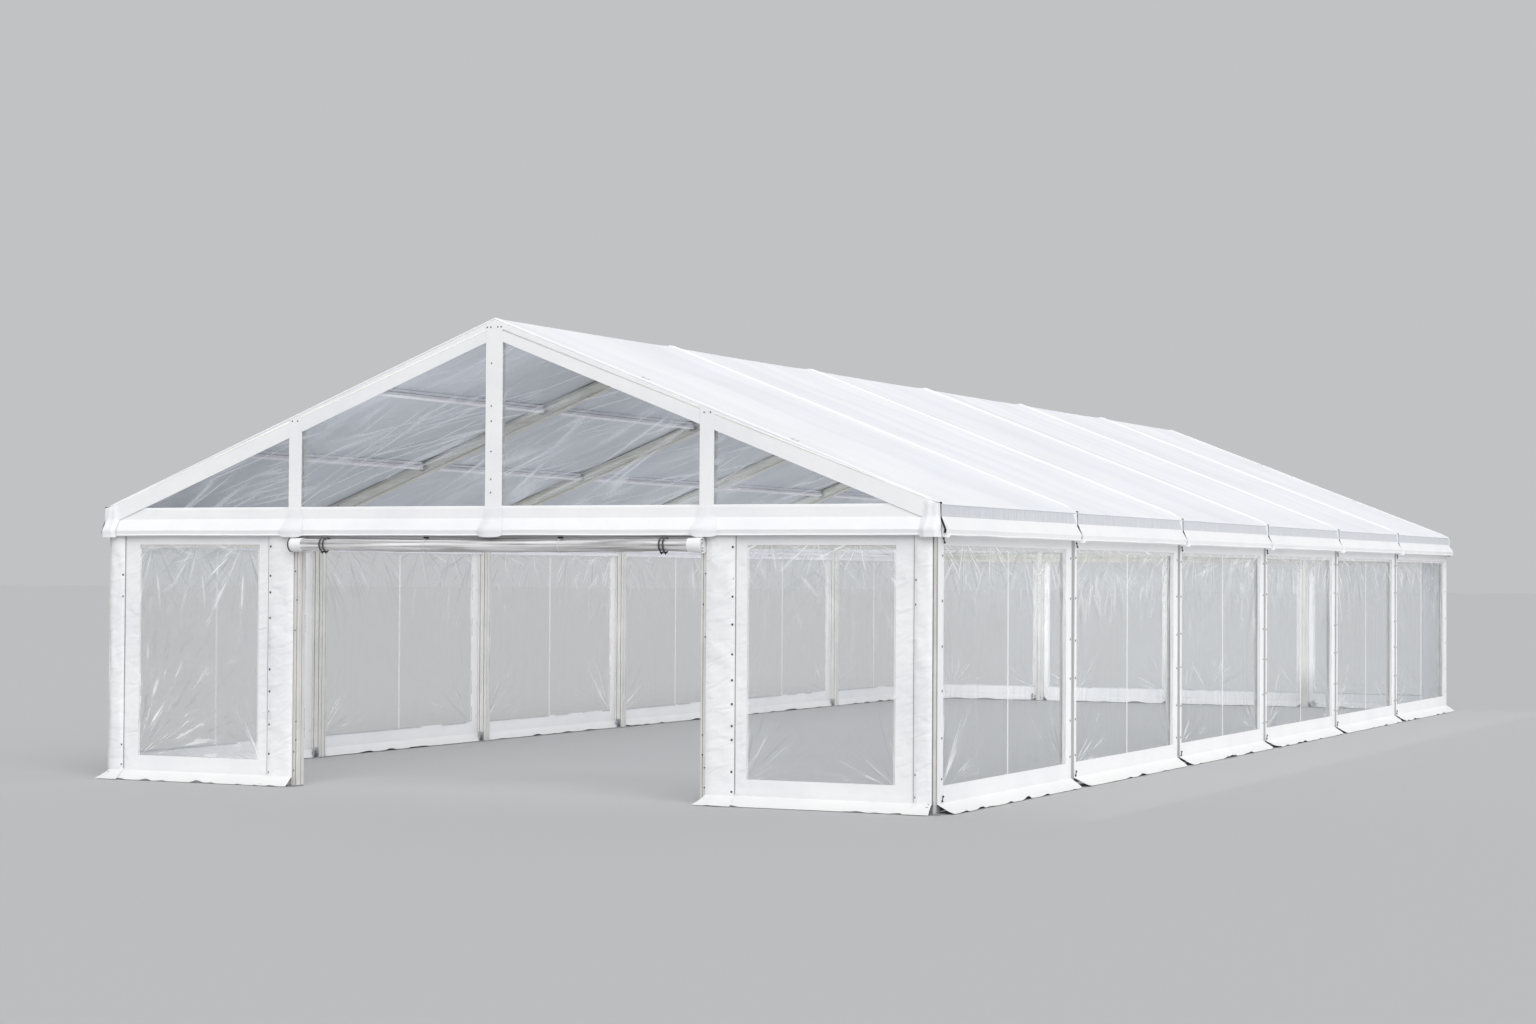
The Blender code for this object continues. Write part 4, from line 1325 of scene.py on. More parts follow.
for sign, side in SIDES:
    point_at = side_place(sign)
    for bay, (start_y, end_y) in enumerate(zip(FRAME_YS, FRAME_YS[1:]), start=1):
        ends = (start_y + (PANEL_EDGE if bay > 1 else -CORNER_OVER),
                end_y - (PANEL_EDGE if bay < BAYS else -CORNER_OVER))
        glass = (start_y + PANEL_EDGE + NEAR_BORDER, end_y - PANEL_EDGE - FAR_BORDER)
        centre_y = (glass[0] + glass[1]) / 2
        seed = bay + 10 * sign

        def place(along, row, ends=ends, seed=seed):
            out, z = wall_shape(along, row, ends, seed)
            return point_at(along, COVER_OUT + out, z)

        def hole(along, row, glass=glass):
            return glass[0] < along < glass[1] and SILL_ROW <= row < WINDOW_ROW
        sheet = cover(f"{side}_wall_cover_{bay}", wall_columns([ends[0], *glass, ends[1]]), ROWS,
                      place, hole, uv=flat_uv, crisp=22)
        keep(sheet, WHITE_PVC, [f"{side}_wall_bay_{bay}"])
        keep(inner_flap(f"{side}_inner_flap_{bay}", point_at, start_y + LEG_WIDE / 2 + 0.005,
                        end_y - LEG_WIDE / 2 - 0.005, seed, sheet), WHITE_PVC,
             [f"{side}_wall_bay_{bay}"])
        for half, (low, high) in enumerate(((glass[0], centre_y), (centre_y, glass[1]))):
            film = window_film(f"{side}_window_{bay}{'ab'[half]}", point_at, low, high,
                               seed + 0.4 * half, SIDE_FILM, mirror=half == 1,
                               lift=0.0012 * half,
                               lap=FAR_LAP if half and sign > 0 else WELD)
            keep(film, replaces=[f"{side}_wall_windows"])
print("side walls:", len(pieces))

# %% [markdown]
# ## Front and rear walls
# The end walls are the same cover turned to the gable. At the front there is one each side of
# the doorway, at the rear one cover from corner to corner with four windows.

# %% End walls
CORNER_BORDER, JAMB_BORDER, POST_BORDER = 0.425, 0.425, 0.30
CORNER_FLAP, JAMB_FLAP = 0.19, 0.325
END_X = FACE_X - 0.058
JAMB_X = QUARTER_X + 0.06 - 0.025
JAMB_FLAP_X, CORNER_FLAP_X = QUARTER_X + 0.005, FACE_X - 0.035


def end_place(sign):
    """A point of an end wall, across the tent, out from the legs, up."""
    return lambda along, out, z: (along, sign * (FACE_Y + out), z)


def end_wall(name, sign, stops, windows, seed, finish):
    """An end wall cover and its films. Windows are pairs of stops."""
    point_at = end_place(sign)
    ends = (stops[0], stops[-1])

    def place(along, row):
        out, z = wall_shape(along, row, ends, seed)
        return point_at(along, COVER_OUT + out, z)

    def hole(along, row):
        return SILL_ROW <= row < WINDOW_ROW and any(low < along < high for low, high in windows)
    sheet = cover(f"{name}_cover", wall_columns(stops, step=0.05), ROWS, place, hole,
                  uv=flat_uv, crisp=22)
    finished(sheet, WHITE_PVC, LACED_PVC)
    for face in sheet.data.polygons:
        across = abs(face.center.x)
        laced = (FACE_X - CORNER_BORDER < across < CORNER_FLAP_X - CORNER_FLAP
                 or JAMB_FLAP_X + JAMB_FLAP < across < JAMB_X + JAMB_BORDER)
        face.material_index = int(laced and sign < 0 and face.center.z > SKIRT_BEND)
    films = []
    for number, (low, high) in enumerate(windows):
        film = window_film(f"{name}_window_{number + 1}", point_at, low, high, seed + number,
                           finish, mirror=sign > 0)
        films.append(film)
    return sheet, films


for sign, side in SIDES:
    xs = sorted(sign * x for x in (END_X, FACE_X - CORNER_BORDER, JAMB_X + JAMB_BORDER, JAMB_X))
    sheet, films = end_wall(f"front_{side}", -1, xs, [(xs[1], xs[2])], 30 + sign,
                            FRONT_FILM if sign > 0 else CREASED_FILM)
    keep(sheet, replaces=[f"front_wall_{side}"])
    keep(films[0], replaces=[f"front_window_{side}"])

half = POST_BORDER / 2
xs = [half, QUARTER_X - half, QUARTER_X + half, FACE_X - CORNER_BORDER, END_X]
xs = [-x for x in reversed(xs)] + xs
windows = [(xs[1], xs[2]), (xs[3], xs[4]), (xs[5], xs[6]), (xs[7], xs[8])]
sheet, films = end_wall("rear", 1, xs, windows, 40, FRONT_FILM)
keep(sheet, replaces=["rear_wall"])
for film in films:
    keep(film, replaces=["rear_wall_windows"])
posts = [-INNER_X, -QUARTER_X, 0.0, QUARTER_X, INNER_X]
for number, (low, high) in enumerate(zip(posts, posts[1:]), start=1):
    keep(inner_flap(f"rear_inner_flap_{number}", end_place(1), low + 0.065, high - 0.065,
                    70 + number, sheet), WHITE_PVC, ["rear_wall"])

# %% [markdown]
# A lacing flap covers each leg of the front wall from the valance down to the skirt. It lies on
# the panel with slanting puckers between its eyelets, and its foot spreads over the ground like
# the skirt's own. The eyelets are set by hand, so their distances differ. A grey cord runs down
# beside the flap, where the panel is laced: a painted shadow line along the flap's edge.

# %% Flaps
FLAP_OFF, FLAP_LEAN, FLAP_SPREAD = 0.0095, -0.02, 0.050


def flap(name, low, high, seed):
    """A lacing flap between two places across the front."""
    point_at = end_place(-1)
    columns = [low + (high - low) * number / 10 for number in range(11)]
    rows = ([-share for share in (1.0, 0.9, 0.75, 0.6, 0.45, 0.3, 0.15)] + [SKIRT_BEND]
            + lines([SKIRT_BEND, SILL_Z, TOP_Z], 0.035)[1:])

    def place(along, row):
        share = (along - low) / (high - low)
        bulge = 0.005 * math.sin(math.pi * share) ** 0.7
        if row > 0:
            pucker = 0.007 * (1 + wave(share * 1.5 + row / 0.5, row / 0.12, seed))
            pucker += 0.020 * max(0.0, wave(share + row / 0.9, row / 0.45, seed + 5))
            held = smooth(share * 6) * smooth((1 - share) * 6)
            return point_at(along, COVER_OUT + FLAP_OFF + (bulge + pucker) * held, row)
        tip = -row
        spread = FLAP_SPREAD * tip ** 1.5
        x = along + spread * (2 * share - 1) + FLAP_LEAN * tip ** 2
        wobble = 0.008 * wave(along / 0.12, seed * 2.3) * tip ** 2
        out = (SKIRT_OUT + 0.008) * tip + wobble + 0.012 + bulge
        lift = 0.030 * max(0.0, wave(along / 0.09, seed * 5.1)) * tip ** 3
        z = SKIRT_BEND - (SKIRT_BEND - 0.006) * tip + lift
        return point_at(x, COVER_OUT + out, max(0.004, z))
    return cover(name, columns, rows, place, uv=flat_uv)


def ring_pattern():
    """An eyelet: a brass ring lying on z = 0, with a black disk in its hole as painted shade."""
    deselect()
    bpy.ops.mesh.primitive_torus_add(major_segments=14, minor_segments=6, major_radius=0.0105,
                                     minor_radius=0.0032)
    ring = finished(named("ring"), NICKEL)
    # The black disk in the hole is painted shade.
    hole = finished(rod("eyelet_hole_painted_shade", (0, 0, -0.001), (0, 0, 0.0025), 0.009, 10), RUBBER)
    return joined("eyelet", [ring, hole])


JAMB_EYELET_ZS = [2.60, 2.28, 2.10, 1.82, 1.52, 1.26, 1.02, 0.80, 0.66, 0.34, 0.14]
CORNER_EYELET_ZS = [2.28, 2.04, 0.38, 0.16]
LEG_SCREW_ZS = [2.66, 2.02, 0.70, 0.50]
front_out = FACE_Y + COVER_OUT + 0.0165
cord_y = -FACE_Y - COVER_OUT - 0.005
eyelets, screws, shadow_line_cords = [], [], []
for sign, side in SIDES:
    jamb = sorted((sign * JAMB_FLAP_X, sign * (JAMB_FLAP_X + JAMB_FLAP)))
    corner = sorted((sign * (CORNER_FLAP_X - CORNER_FLAP), sign * CORNER_FLAP_X))
    sheets = [flap(f"{side}_jamb_flap", *jamb, 60 + sign),
              flap(f"{side}_corner_flap", *corner, 64 + sign)]
    for sheet, (low, high) in zip(sheets, (jamb, corner)):
        keep(sheet, LACED_PVC, [f"front_wall_{side}"])
    # A grey cord beside each flap is a painted shadow line along the flap's edge.
    for x in (JAMB_FLAP_X + JAMB_FLAP + 0.005, CORNER_FLAP_X - CORNER_FLAP - 0.005):
        cord = rod("shadow_line_cord", (sign * x, cord_y, 0.12), (sign * x, cord_y, TOP_Z), 0.004, 8)
        shadow_line_cords.append(finished(cord, SHADOW_LINE_GREY))
    for x, zs in ((JAMB_FLAP_X + JAMB_FLAP - 0.027, JAMB_EYELET_ZS),
                  (CORNER_FLAP_X - CORNER_FLAP + 0.022, CORNER_EYELET_ZS)):
        eyelets += [move(sign * x, -front_out, z) @ facing(-1) for z in zs]
    for z in LEG_SCREW_ZS:
        for aside, lower in ((0.035, 0.0), (0.010, 0.33)):
            screws.append(move(sign * (QUARTER_X - aside), -FACE_Y, z - lower) @ facing(-1))
keep(joined("shadow_line_cords", shadow_line_cords), replaces=["front_wall_left"])

# %% [markdown]
# ## Gable covers
# The gable cover is one sheet: a band under each rafter, a band over each upright, and below the
# beam line the valance. Its rows are not level: each is a share of the way from the window's
# foot to the rafter band, so the grid leans with the roof and the bands keep their width.

# %% Gable covers
RAFTER_BAND, KING_BAND, QUARTER_BAND = 0.21, 0.20, 0.16
GABLE_SEED = 50
TIP_X = (RIDGE_Z - RAFTER_BAND - EAVE_Z) / math.tan(PITCH)
FALLS = ([BAND + FLARE + step for step in reversed(HEM_STEPS)]
         + [BAND + FLARE, BAND + 0.10, BAND + 0.05, BAND, 0.07, 0.03])
GABLE_ROWS = ([-fall for fall in FALLS] + [0.0] + lines([0.0, 1.0], 0.1)[1:]
              + [1.25, 1.5, 1.75, 2.0])
FIRST_WINDOW, LAST_WINDOW = GABLE_ROWS.index(0.0), GABLE_ROWS.index(1.0)


def gable_height(x, row):
    """Height of a row over x: 0 to 1 up the window, 1 to 2 up the band under the rafter."""
    top = max(EAVE_Z, roof_z(x) - RAFTER_BAND)
    edge = roof_z(x) - RAFTER_TOP / math.cos(PITCH)
    return EAVE_Z + (top - EAVE_Z) * row if row <= 1 else top + (edge - top) * (row - 1)


def gable_point(sign):
    """Where a point of a gable cover lies."""
    seed = GABLE_SEED + sign

    def place(x, row):
        if row < 0:
            out, down = valance(-row)
            share = max(0.0, -row - BAND) / (FLARE + HEM)
            out += share * 0.006 * wave(x / 0.7, seed) + 0.002 * wave(x / 0.25, row / 0.1, seed)
            down += share * 0.004 * wave(x / 0.9, seed + 4)
            return (x, sign * (FACE_Y + COVER_OUT + max(0.0, out)), EAVE_Z - down)
        z = gable_height(x, row)
        out = 0.001 * (1 + wave(x / 0.3, z / 0.3, seed))
        return (x, sign * (FACE_Y + COVER_OUT + out), z)
    return place


def gable_film(name, sign, low, high, seed):
    """A gable window's film, lapped behind the bands, with long folds up the slope."""
    columns = lines([low, high], 0.06)
    rows = lines([0.0, 1.0], 0.035)

    def place(x, row):
        foot = EAVE_Z - WELD
        top = roof_z(x) - RAFTER_BAND + WELD
        z = foot + (top - foot) * row
        edge = min(x - low, high - x, z - foot, top - z)
        rise = z - 0.32 * x
        folds = wave(rise / 0.16, x / 1.6, seed) + 0.5 * wave(rise / 0.4, x / 0.8, seed)
        out = FILM_OUT + 0.008 * folds * smooth((edge - WELD) / 0.15)
        return (x, sign * (FACE_Y + out), z)
    return cover(name, columns, rows, place, thickness=0, uv=flat_uv)


# %% [markdown]
# The gable film hazes in long clouds that rise to the right, as the film was rolled. Its fine
# white lines are folds in the film, whitened and painted as highlight.

# %% Gable film
def slanting(finish, place, degrees, long, tall, bend):
    """Noise drawn out along a slanting line: long metres one way and tall metres the other."""
    turned = add(finish, "ShaderNodeMapping", {"Vector": (place, "Object")},
                 {"Rotation": (0.0, math.radians(-degrees), 0.0), "Scale": (long, 1.0, tall)},
                 vector_type="TEXTURE")
    return add(finish, "ShaderNodeTexNoise", {"Vector": (turned, "Vector")},
               {"Scale": 1.0, "Detail": 1.5, "Roughness": 0.5, "Distortion": bend})


def gable_film_finish():
    """Clear PVC with long slanting clouds, and fine white lines where a drawn-out noise passes one
    level: folds in the film, whitened and painted as highlight."""
    finish, shader = new_finish("clear_pvc_film_of_the_gable", 0.2, ior=FILM_IOR)
    place = add(finish, "ShaderNodeTexCoord")
    cloud = slanting(finish, place, 18, 1.6, 0.30, 0.5)
    mist = add(finish, "ShaderNodeMapRange", {"Value": (cloud, "Fac")},
               {"From Min": 0.40, "From Max": 0.68, "To Min": 0.0, "To Max": 0.17})
    crease_glints = None
    for degrees, thin, level_at in ((20, 0.17, 0.50), (31, 0.24, 0.53), (12, 0.14, 0.47)):
        thread = slanting(finish, place, degrees, 3.4, thin, 0.25)
        off = add(finish, "ShaderNodeMath", {0: (thread, "Fac")}, {1: level_at},
                  operation="SUBTRACT")
        off = add(finish, "ShaderNodeMath", {0: (off, "Value")}, operation="ABSOLUTE")
        line = add(finish, "ShaderNodeMapRange", {"Value": (off, "Value")},
                   {"From Min": 0.030, "From Max": 0.008})
        here = slanting(finish, place, degrees, 1.1, 0.5, 0.0)
        strength = add(finish, "ShaderNodeMapRange", {"Value": (here, "Fac")},
                       {"From Min": 0.42, "From Max": 0.60, "To Max": 0.35})
        line = add(finish, "ShaderNodeMath", {0: (line, "Result"), 1: (strength, "Result")},
                   operation="MULTIPLY")
        if crease_glints:
            line = add(finish, "ShaderNodeMath", {0: (line, "Value"), 1: crease_glints},
                       operation="MAXIMUM")
        crease_glints = (line, "Value")
    edge = add(finish, "ShaderNodeFresnel", values={"IOR": EDGE_IOR})
    veil = add(finish, "ShaderNodeMath", {0: (mist, "Result"), 1: (edge, "Fac")},
               operation="ADD")
    share = add(finish, "ShaderNodeMath", {0: (veil, "Value"), 1: crease_glints}, operation="ADD",
                use_clamp=True)
    feed(finish, shader, "Alpha", share, "Value")
    # White along the fine lines is whitened film and painted highlight.
    body = tone(finish, crease_glints, "#C6CDD6", "#F4F6FA")
    feed(finish, shader, "Base Color", body, 2)
    bump = add(finish, "ShaderNodeBump", {"Height": (cloud, "Fac")},
               {"Strength": 0.3, "Distance": 0.02})
    feed(finish, shader, "Normal", bump, "Normal")
    return finish


GABLE_FILM = gable_film_finish()
quarter = QUARTER_BAND / 2
right_stops = [0.0, KING_BAND / 2, QUARTER_X - quarter, QUARTER_X + quarter, TIP_X, FACE_X]
gable_stops = [-x for x in reversed(right_stops[1:])] + right_stops
gable_bays = [(-TIP_X, -QUARTER_X - quarter), (-QUARTER_X + quarter, -KING_BAND / 2),
              (KING_BAND / 2, QUARTER_X - quarter), (QUARTER_X + quarter, TIP_X)]


def gable_hole(x, row):
    """Windows, and the flattened cells past their tips."""
    if not FIRST_WINDOW <= row < LAST_WINDOW:
        return False
    return abs(x) > TIP_X or any(low < x < high for low, high in gable_bays)


for sign, end in ENDS:
    sheet = cover(f"{end}_gable_sheet", lines(gable_stops, 0.13), GABLE_ROWS, gable_point(sign),
                  gable_hole, thickness=0, crisp=20)
    on_all(sheet, bpy.ops.mesh.remove_doubles, threshold=0.0008)
    applied(sheet, "SOLIDIFY", thickness=COVER, offset=0.0, use_even_offset=True)
    finished(sheet, WHITE_PVC)
    keep(sheet, replaces=[f"{end}_gable_cover"])
    for number, (low, high) in enumerate(gable_bays):
        lap_low = low if abs(low) == TIP_X else low - WELD
        lap_high = high if abs(high) == TIP_X else high + WELD
        film = gable_film(f"{end}_gable_window_{number + 1}", sign, lap_low, lap_high,
                          number + 5 * sign)
        keep(film, GABLE_FILM, [f"{end}_gable_windows"])
        tall = roof_z(min(abs(low), abs(high))) - RAFTER_BAND - EAVE_Z + 2 * WELD
print("gables:", len(pieces))

# %% [markdown]
# ## Strips and wraps on the gables
# A strip under each rafter runs on over the valance to the corner, which leaves a slanting edge
# there. A strip over each upright hides its seam, from the roof's edge over the valance to just
# under the hem, where it is about twice as wide and hangs in a soft fold. At each corner of the
# tent a wrap closes the gable's valance: it bulges over the joint of leg and rafter and turns
# round the corner, up to the slit of the side valance.

# %% Strips and corner wraps
HANG = BAND + FLARE + HEM
STRIP_ROWS = [-fall for fall in (HANG + 0.016, HANG, BAND + FLARE + 0.02, BAND + FLARE,
                                 BAND + 0.11, BAND + 0.07, BAND + 0.03, BAND, 0.11, 0.07, 0.03,
                                 0.0)]
RAFTER_STRIP_OFF, POST_STRIP_OFF, WRAP_OFF = 0.0030, 0.0080, 0.0120
STRIP_TOP, HEM_HALF = 0.016, 0.155


def over_valance(sign, x, fall, off):
    """A point off the gable's valance, a length down it."""
    point = gable_point(sign)(x, -min(fall, HANG))
    return (x, point[1] + sign * off, point[2] - max(0.0, fall - HANG))


def rafter_strip(name, sign, side, seed):
    """The strip under a rafter, on over the valance to the corner wrap."""
    length = FACE_X - 0.13

    def place(x, row):
        drop = RAFTER_BAND * (1 - row) + STRIP_TOP * row
        off = RAFTER_STRIP_OFF + 0.009 * smooth((x - TIP_X + 0.25) / 0.4)
        off += 0.0015 * (1 + wave(x / 0.25, row * 1.5, seed)) * smooth(x / 0.2)
        return (side * x, sign * (FACE_Y + COVER_OUT + off), roof_z(x) - drop)
    sheet = cover(name, lines([0.0, length], 0.10), QUARTERS, place, thickness=0.0015,
                  uv=lambda x, row: (x, 0.2 * row))
    return sheet


def post_strip(name, sign, centre, wide, seed):
    """A strip over an upright of the gable."""
    def place(across, row):
        if row > 0:
            x = centre + across * wide / 2
            top = roof_z(x) - STRIP_TOP
            ripple = 0.0012 * (1 + wave(across, row * 9, seed))
            return (x, sign * (FACE_Y + COVER_OUT + POST_STRIP_OFF + ripple),
                    EAVE_Z + (top - EAVE_Z) * row)
        share = -row / HANG
        half = wide / 2 + (HEM_HALF - wide / 2) * smooth(share)
        pillow = 0.020 * (1 - across ** 2) * share
        fold = 0.022 * share * max(0.0, wave(across * 1.3 + share * 1.5, share * 1.6, seed))
        foot = smooth((share - 0.9) / 0.12)
        ragged = (0.004 * wave(across * 1.5, seed) + 0.020 * across ** 4) * foot
        half *= 1 - 0.05 * foot
        x, y, z = over_valance(sign, centre + across * half, -row,
                               POST_STRIP_OFF + pillow + fold)
        return (x, y, z + ragged)
    sheet = cover(name, lines([-1.0, 1.0], 0.2), STRIP_ROWS + lines([0.0, 1.0], 0.1)[1:], place,
                  uv=lambda across, row: (across * wide / 2, row))
    roof_z(centre) - EAVE_Z + HANG
    return sheet


def corner_wrap(name, sign, side, seed):
    """The fabric that wraps a corner over the joint of leg and rafter."""
    inner = FACE_X - 0.145

    def place(across, row):
        fall = max(0.0, -row)
        share = fall / HANG
        outer = EAVE_X - 0.004 + 0.012 * share
        x = inner + (outer - inner) * across
        turned = max(0.0, across - 0.86) / 0.14
        bulge = (0.010 + 0.014 * share) * math.sin(math.pi * min(1.0, across)) ** 0.8
        folds = 0.006 * hump(across - 0.36 + 0.12 * share, 0.09)
        folds += 0.008 * hump(across - 0.74 - 0.05 * share, 0.11)
        folds += 0.005 * wave(across * 2.5, share * 3 - row, seed)
        off = WRAP_OFF + (bulge + folds) * smooth(across / 0.15)
        if row > 0:
            top = roof_z(min(x, EAVE_X)) - 0.014
            y = sign * (FACE_Y + COVER_OUT + off * (1 - 0.5 * row))
            z = EAVE_Z + (top - EAVE_Z) * row
        else:
            _, y, z = over_valance(sign, min(x, FACE_X), fall, off)
        y -= sign * 0.020 * turned ** 2 * (1 + 2.2 * share)
        stand = FACE_Y + COVER_OUT + 0.0045 + 0.020 * smooth((across - 0.75) / 0.2)
        return (side * x, sign * max(abs(y), stand), z)
    sheet = cover(name, lines([0.0, 0.8, 1.0], 0.07), STRIP_ROWS + QUARTERS[1:], place,
                  uv=lambda across, row: (across * 0.2, row))
    return sheet


KING_SCREWS = [(x, 4.91) for x in (-0.085, -0.042, 0.042, 0.082)]
KING_SCREWS += [(-0.03, z) for z in (4.53, 4.08, 3.92, 3.60, 3.31, 3.17)]
QUARTER_SCREWS = [(side * (QUARTER_X + off), roof_z(QUARTER_X) - 0.060)
                  for side in (-1, 1) for off in (-0.03, 0.04)]
for sign, end in ENDS:
    for number, (x, wide) in enumerate(((-QUARTER_X, QUARTER_BAND), (0.0, KING_BAND),
                                        (QUARTER_X, QUARTER_BAND)), start=1):
        strip = post_strip(f"{end}_post_strip_{number}", sign, x, wide, number + 3 * sign)
        finished(strip, WHITE_PVC, WRAP_PVC_PAINTED_SHADE)
        # Below the eave the strip takes the greyer white of painted shade.
        for face in strip.data.polygons:
            face.material_index = int(face.center.z < EAVE_Z - 0.03)
        keep(strip, replaces=[f"{end}_gable_cover"])
    for side, hand in SIDES:
        wrap = corner_wrap(f"{end}_{hand}_corner_wrap", sign, side, 7 * side + sign)
        keep(wrap, WRAP_PVC_PAINTED_SHADE, [f"{end}_gable_cover"])
        strip = rafter_strip(f"{end}_{hand}_rafter_strip", sign, side, 11 * side + sign)
        keep(strip, WHITE_PVC, [f"{end}_gable_cover"])
    screw_y = sign * (FACE_Y + COVER_OUT + 0.0105)
    screws += [move(x, screw_y, z) @ facing(sign) for x, z in KING_SCREWS + QUARTER_SCREWS]

# %% [markdown]
# ## The rolled door
# The clear door is rolled up from its foot and strapped under the beam. It is modelled as it
# is: a sheet wound in a spiral, with thick white sleeves at both ends that show the turns, the
# right one looser. It sags between its straps, and the film creases.

# %% Rolled door
ROLL_Z, ROLL_RADIUS, ROLL_GAP, TURNS, SLEEVE_TURNS = 2.622, 0.0765, 0.017, 3.7, 2.5
ROLL_Y = -(FACE_Y + 0.0003 + ROLL_RADIUS)
ROLL_TOP = 2.73
SLEEVE = 0.16
TURN_STEPS = 26
STRAPPED_X, TIES = 2.05, (-0.78, 0.85)


def roll_sag(x):
    """How far the roll hangs down between its two straps."""
    return 0.014 * math.cos(math.pi * x / (2 * QUARTER_X)) ** 2


def roll_point(x, turned):
    """Where the rolled sheet lies: down from the beam, then in circles from the outside in."""
    if turned < 0:
        up_the_beam = (ROLL_TOP - ROLL_Z) * -turned
        return (x, -(FACE_Y + 0.0016), ROLL_Z + up_the_beam - roll_sag(x) * (1 + turned))
    angle = -2 * math.pi * turned
    loose = smooth((x - QUARTER_X + SLEEVE) / SLEEVE)
    radius = ROLL_RADIUS + 0.012 * loose - (ROLL_GAP + 0.011 * loose) * turned
    free = smooth((QUARTER_X - SLEEVE - abs(x)) / 0.12) * smooth(turned / 0.15)
    twist = wave(x / 0.40 + turned * 0.8, math.cos(angle) * 1.1, math.sin(angle) * 1.1)
    fine = wave(x / 0.16, math.cos(angle) * 2.2, math.sin(angle) * 2.2 + 5)
    strapped = max(hump(abs(x) - STRAPPED_X, 0.07),
                   *(0.4 * hump(x - tie, 0.05) for tie in TIES))
    radius += (0.006 * twist + 0.003 * fine - 0.005 - 0.006 * strapped) * free
    return (x, ROLL_Y - 0.012 * loose + radius * math.cos(angle),
            ROLL_Z - roll_sag(x) + radius * math.sin(angle))


def rolled_film():
    """Clear PVC in many turns: grey and no longer see-through, with streaks along the folds from
    dark grey to near white, as painted shade and painted highlight.
    """
    finish, shader = new_finish("clear_pvc_rolled_up", 0.22, ior=FILM_IOR)
    uv = add(finish, "ShaderNodeUVMap", uv_map="film")
    drawn = add(finish, "ShaderNodeMapping", {"Vector": (uv, "UV")},
                {"Rotation": (0.0, 0.0, math.radians(3)), "Scale": (0.55, 16.0, 1.0)})
    folds = add(finish, "ShaderNodeTexNoise", {"Vector": (drawn, "Vector")},
                {"Scale": 1.0, "Detail": 5.0, "Roughness": 0.62, "Distortion": 0.5})
    glint_and_shade_streak = add(finish, "ShaderNodeMapRange", {"Value": (folds, "Fac")},
                 {"From Min": 0.36, "From Max": 0.62})
    # The streaks run from dark grey to near white: painted shade and painted highlight along the
    # folds.
    body = tone(finish, (glint_and_shade_streak, "Result"), "#8D8A89", "#F2F1F2")
    feed(finish, shader, "Base Color", body, 2)
    bump = add(finish, "ShaderNodeBump", {"Height": (folds, "Fac")},
               {"Strength": 0.9, "Distance": 0.012})
    feed(finish, shader, "Normal", bump, "Normal")
    return finish


ROLLED_FILM = rolled_film()
film_end = QUARTER_X - SLEEVE + 0.015
turned_values = [-1.0, -0.5] + [number / TURN_STEPS
                                for number in range(int(TURNS * TURN_STEPS) + 1)]
roll = cover("rolled_clear_door", lines([-film_end, film_end], 0.045), turned_values, roll_point,
             thickness=0, uv=lambda x, turned: (x, turned * 2 * math.pi * ROLL_RADIUS))
keep(roll, ROLLED_FILM, ["rolled_door"])
for side, hand in SIDES:
    xs = sorted((side * (QUARTER_X - SLEEVE), side * QUARTER_X))
    sleeve = cover(f"{hand}_door_sleeve", lines(xs, 0.04),
                   turned_values[2:round(SLEEVE_TURNS * TURN_STEPS) + 3], roll_point,
                   thickness=0.010)
    keep(sleeve, WHITE_PVC, ["rolled_door"])

# %% [markdown]
# Two pairs of webbing straps carry the roll, one more closes its left end, and two thin white
# ties keep it from unwinding in the middle. The dark clips on top of the ties are also painted
# shadow, where the roll meets the valance's hem.

# %% Straps and ties


def strap(x, wide, thick, radius, finish):
    """A band round the roll."""
    deselect()
    bpy.ops.mesh.primitive_cylinder_add(vertices=28, radius=radius, depth=wide,
                                        end_fill_type="NOTHING", rotation=(0, math.pi / 2, 0),
                                        location=(x, ROLL_Y, ROLL_Z - roll_sag(x)))
    bpy.ops.object.transform_apply(location=True, rotation=True, scale=True)
    band = named("strap")
    applied(band, "SOLIDIFY", thickness=thick, offset=1.0)
    bpy.ops.object.shade_smooth_by_angle(angle=ROUND)
    return finished(band, finish)


straps = []
for x in (-2.085, -2.04, 2.03, 2.075):
    straps.append(strap(x, 0.018, 0.003, ROLL_RADIUS - 0.003, WEBBING))
    low = ROLL_Z - ROLL_RADIUS - roll_sag(x)
    tail = block("tail", (x - 0.008, ROLL_Y - 0.012, low - 0.022),
                 (x + 0.008, ROLL_Y - 0.009, low + 0.004), edge=0.001)
    buckle = block("buckle", (x - 0.015, ROLL_Y - 0.020, low - 0.010),
                   (x + 0.015, ROLL_Y + 0.010, low + 0.002), edge=0.002)
    straps += [finished(tail, WEBBING), finished(buckle, RUBBER)]
straps.append(strap(-QUARTER_X + 0.012, 0.014, 0.003, ROLL_RADIUS + 0.003, WEBBING))
for x in TIES:
    straps.append(strap(x, 0.008, 0.002, ROLL_RADIUS - 0.005, LACE))
    top = ROLL_Z + ROLL_RADIUS - roll_sag(x)
    # The dark block on top of each tie is also painted shadow, where the roll meets the valance's
    # hem.
    tie_shadow_clip = block("tie_shadow_clip", (x - 0.028, ROLL_Y - 0.012, top - 0.004),
                 (x + 0.028, ROLL_Y + 0.012, top + 0.016), edge=0.003)
    straps.append(finished(tie_shadow_clip, RUBBER))
keep(joined("door_straps", straps))

# %% [markdown]
# ## Eyelets, toggles and screws
# Eyelets run up both borders of every side cover. Under the valance each cover hangs on a short
# shock cord between two toggles, and a second cord ties its foot to the leg.

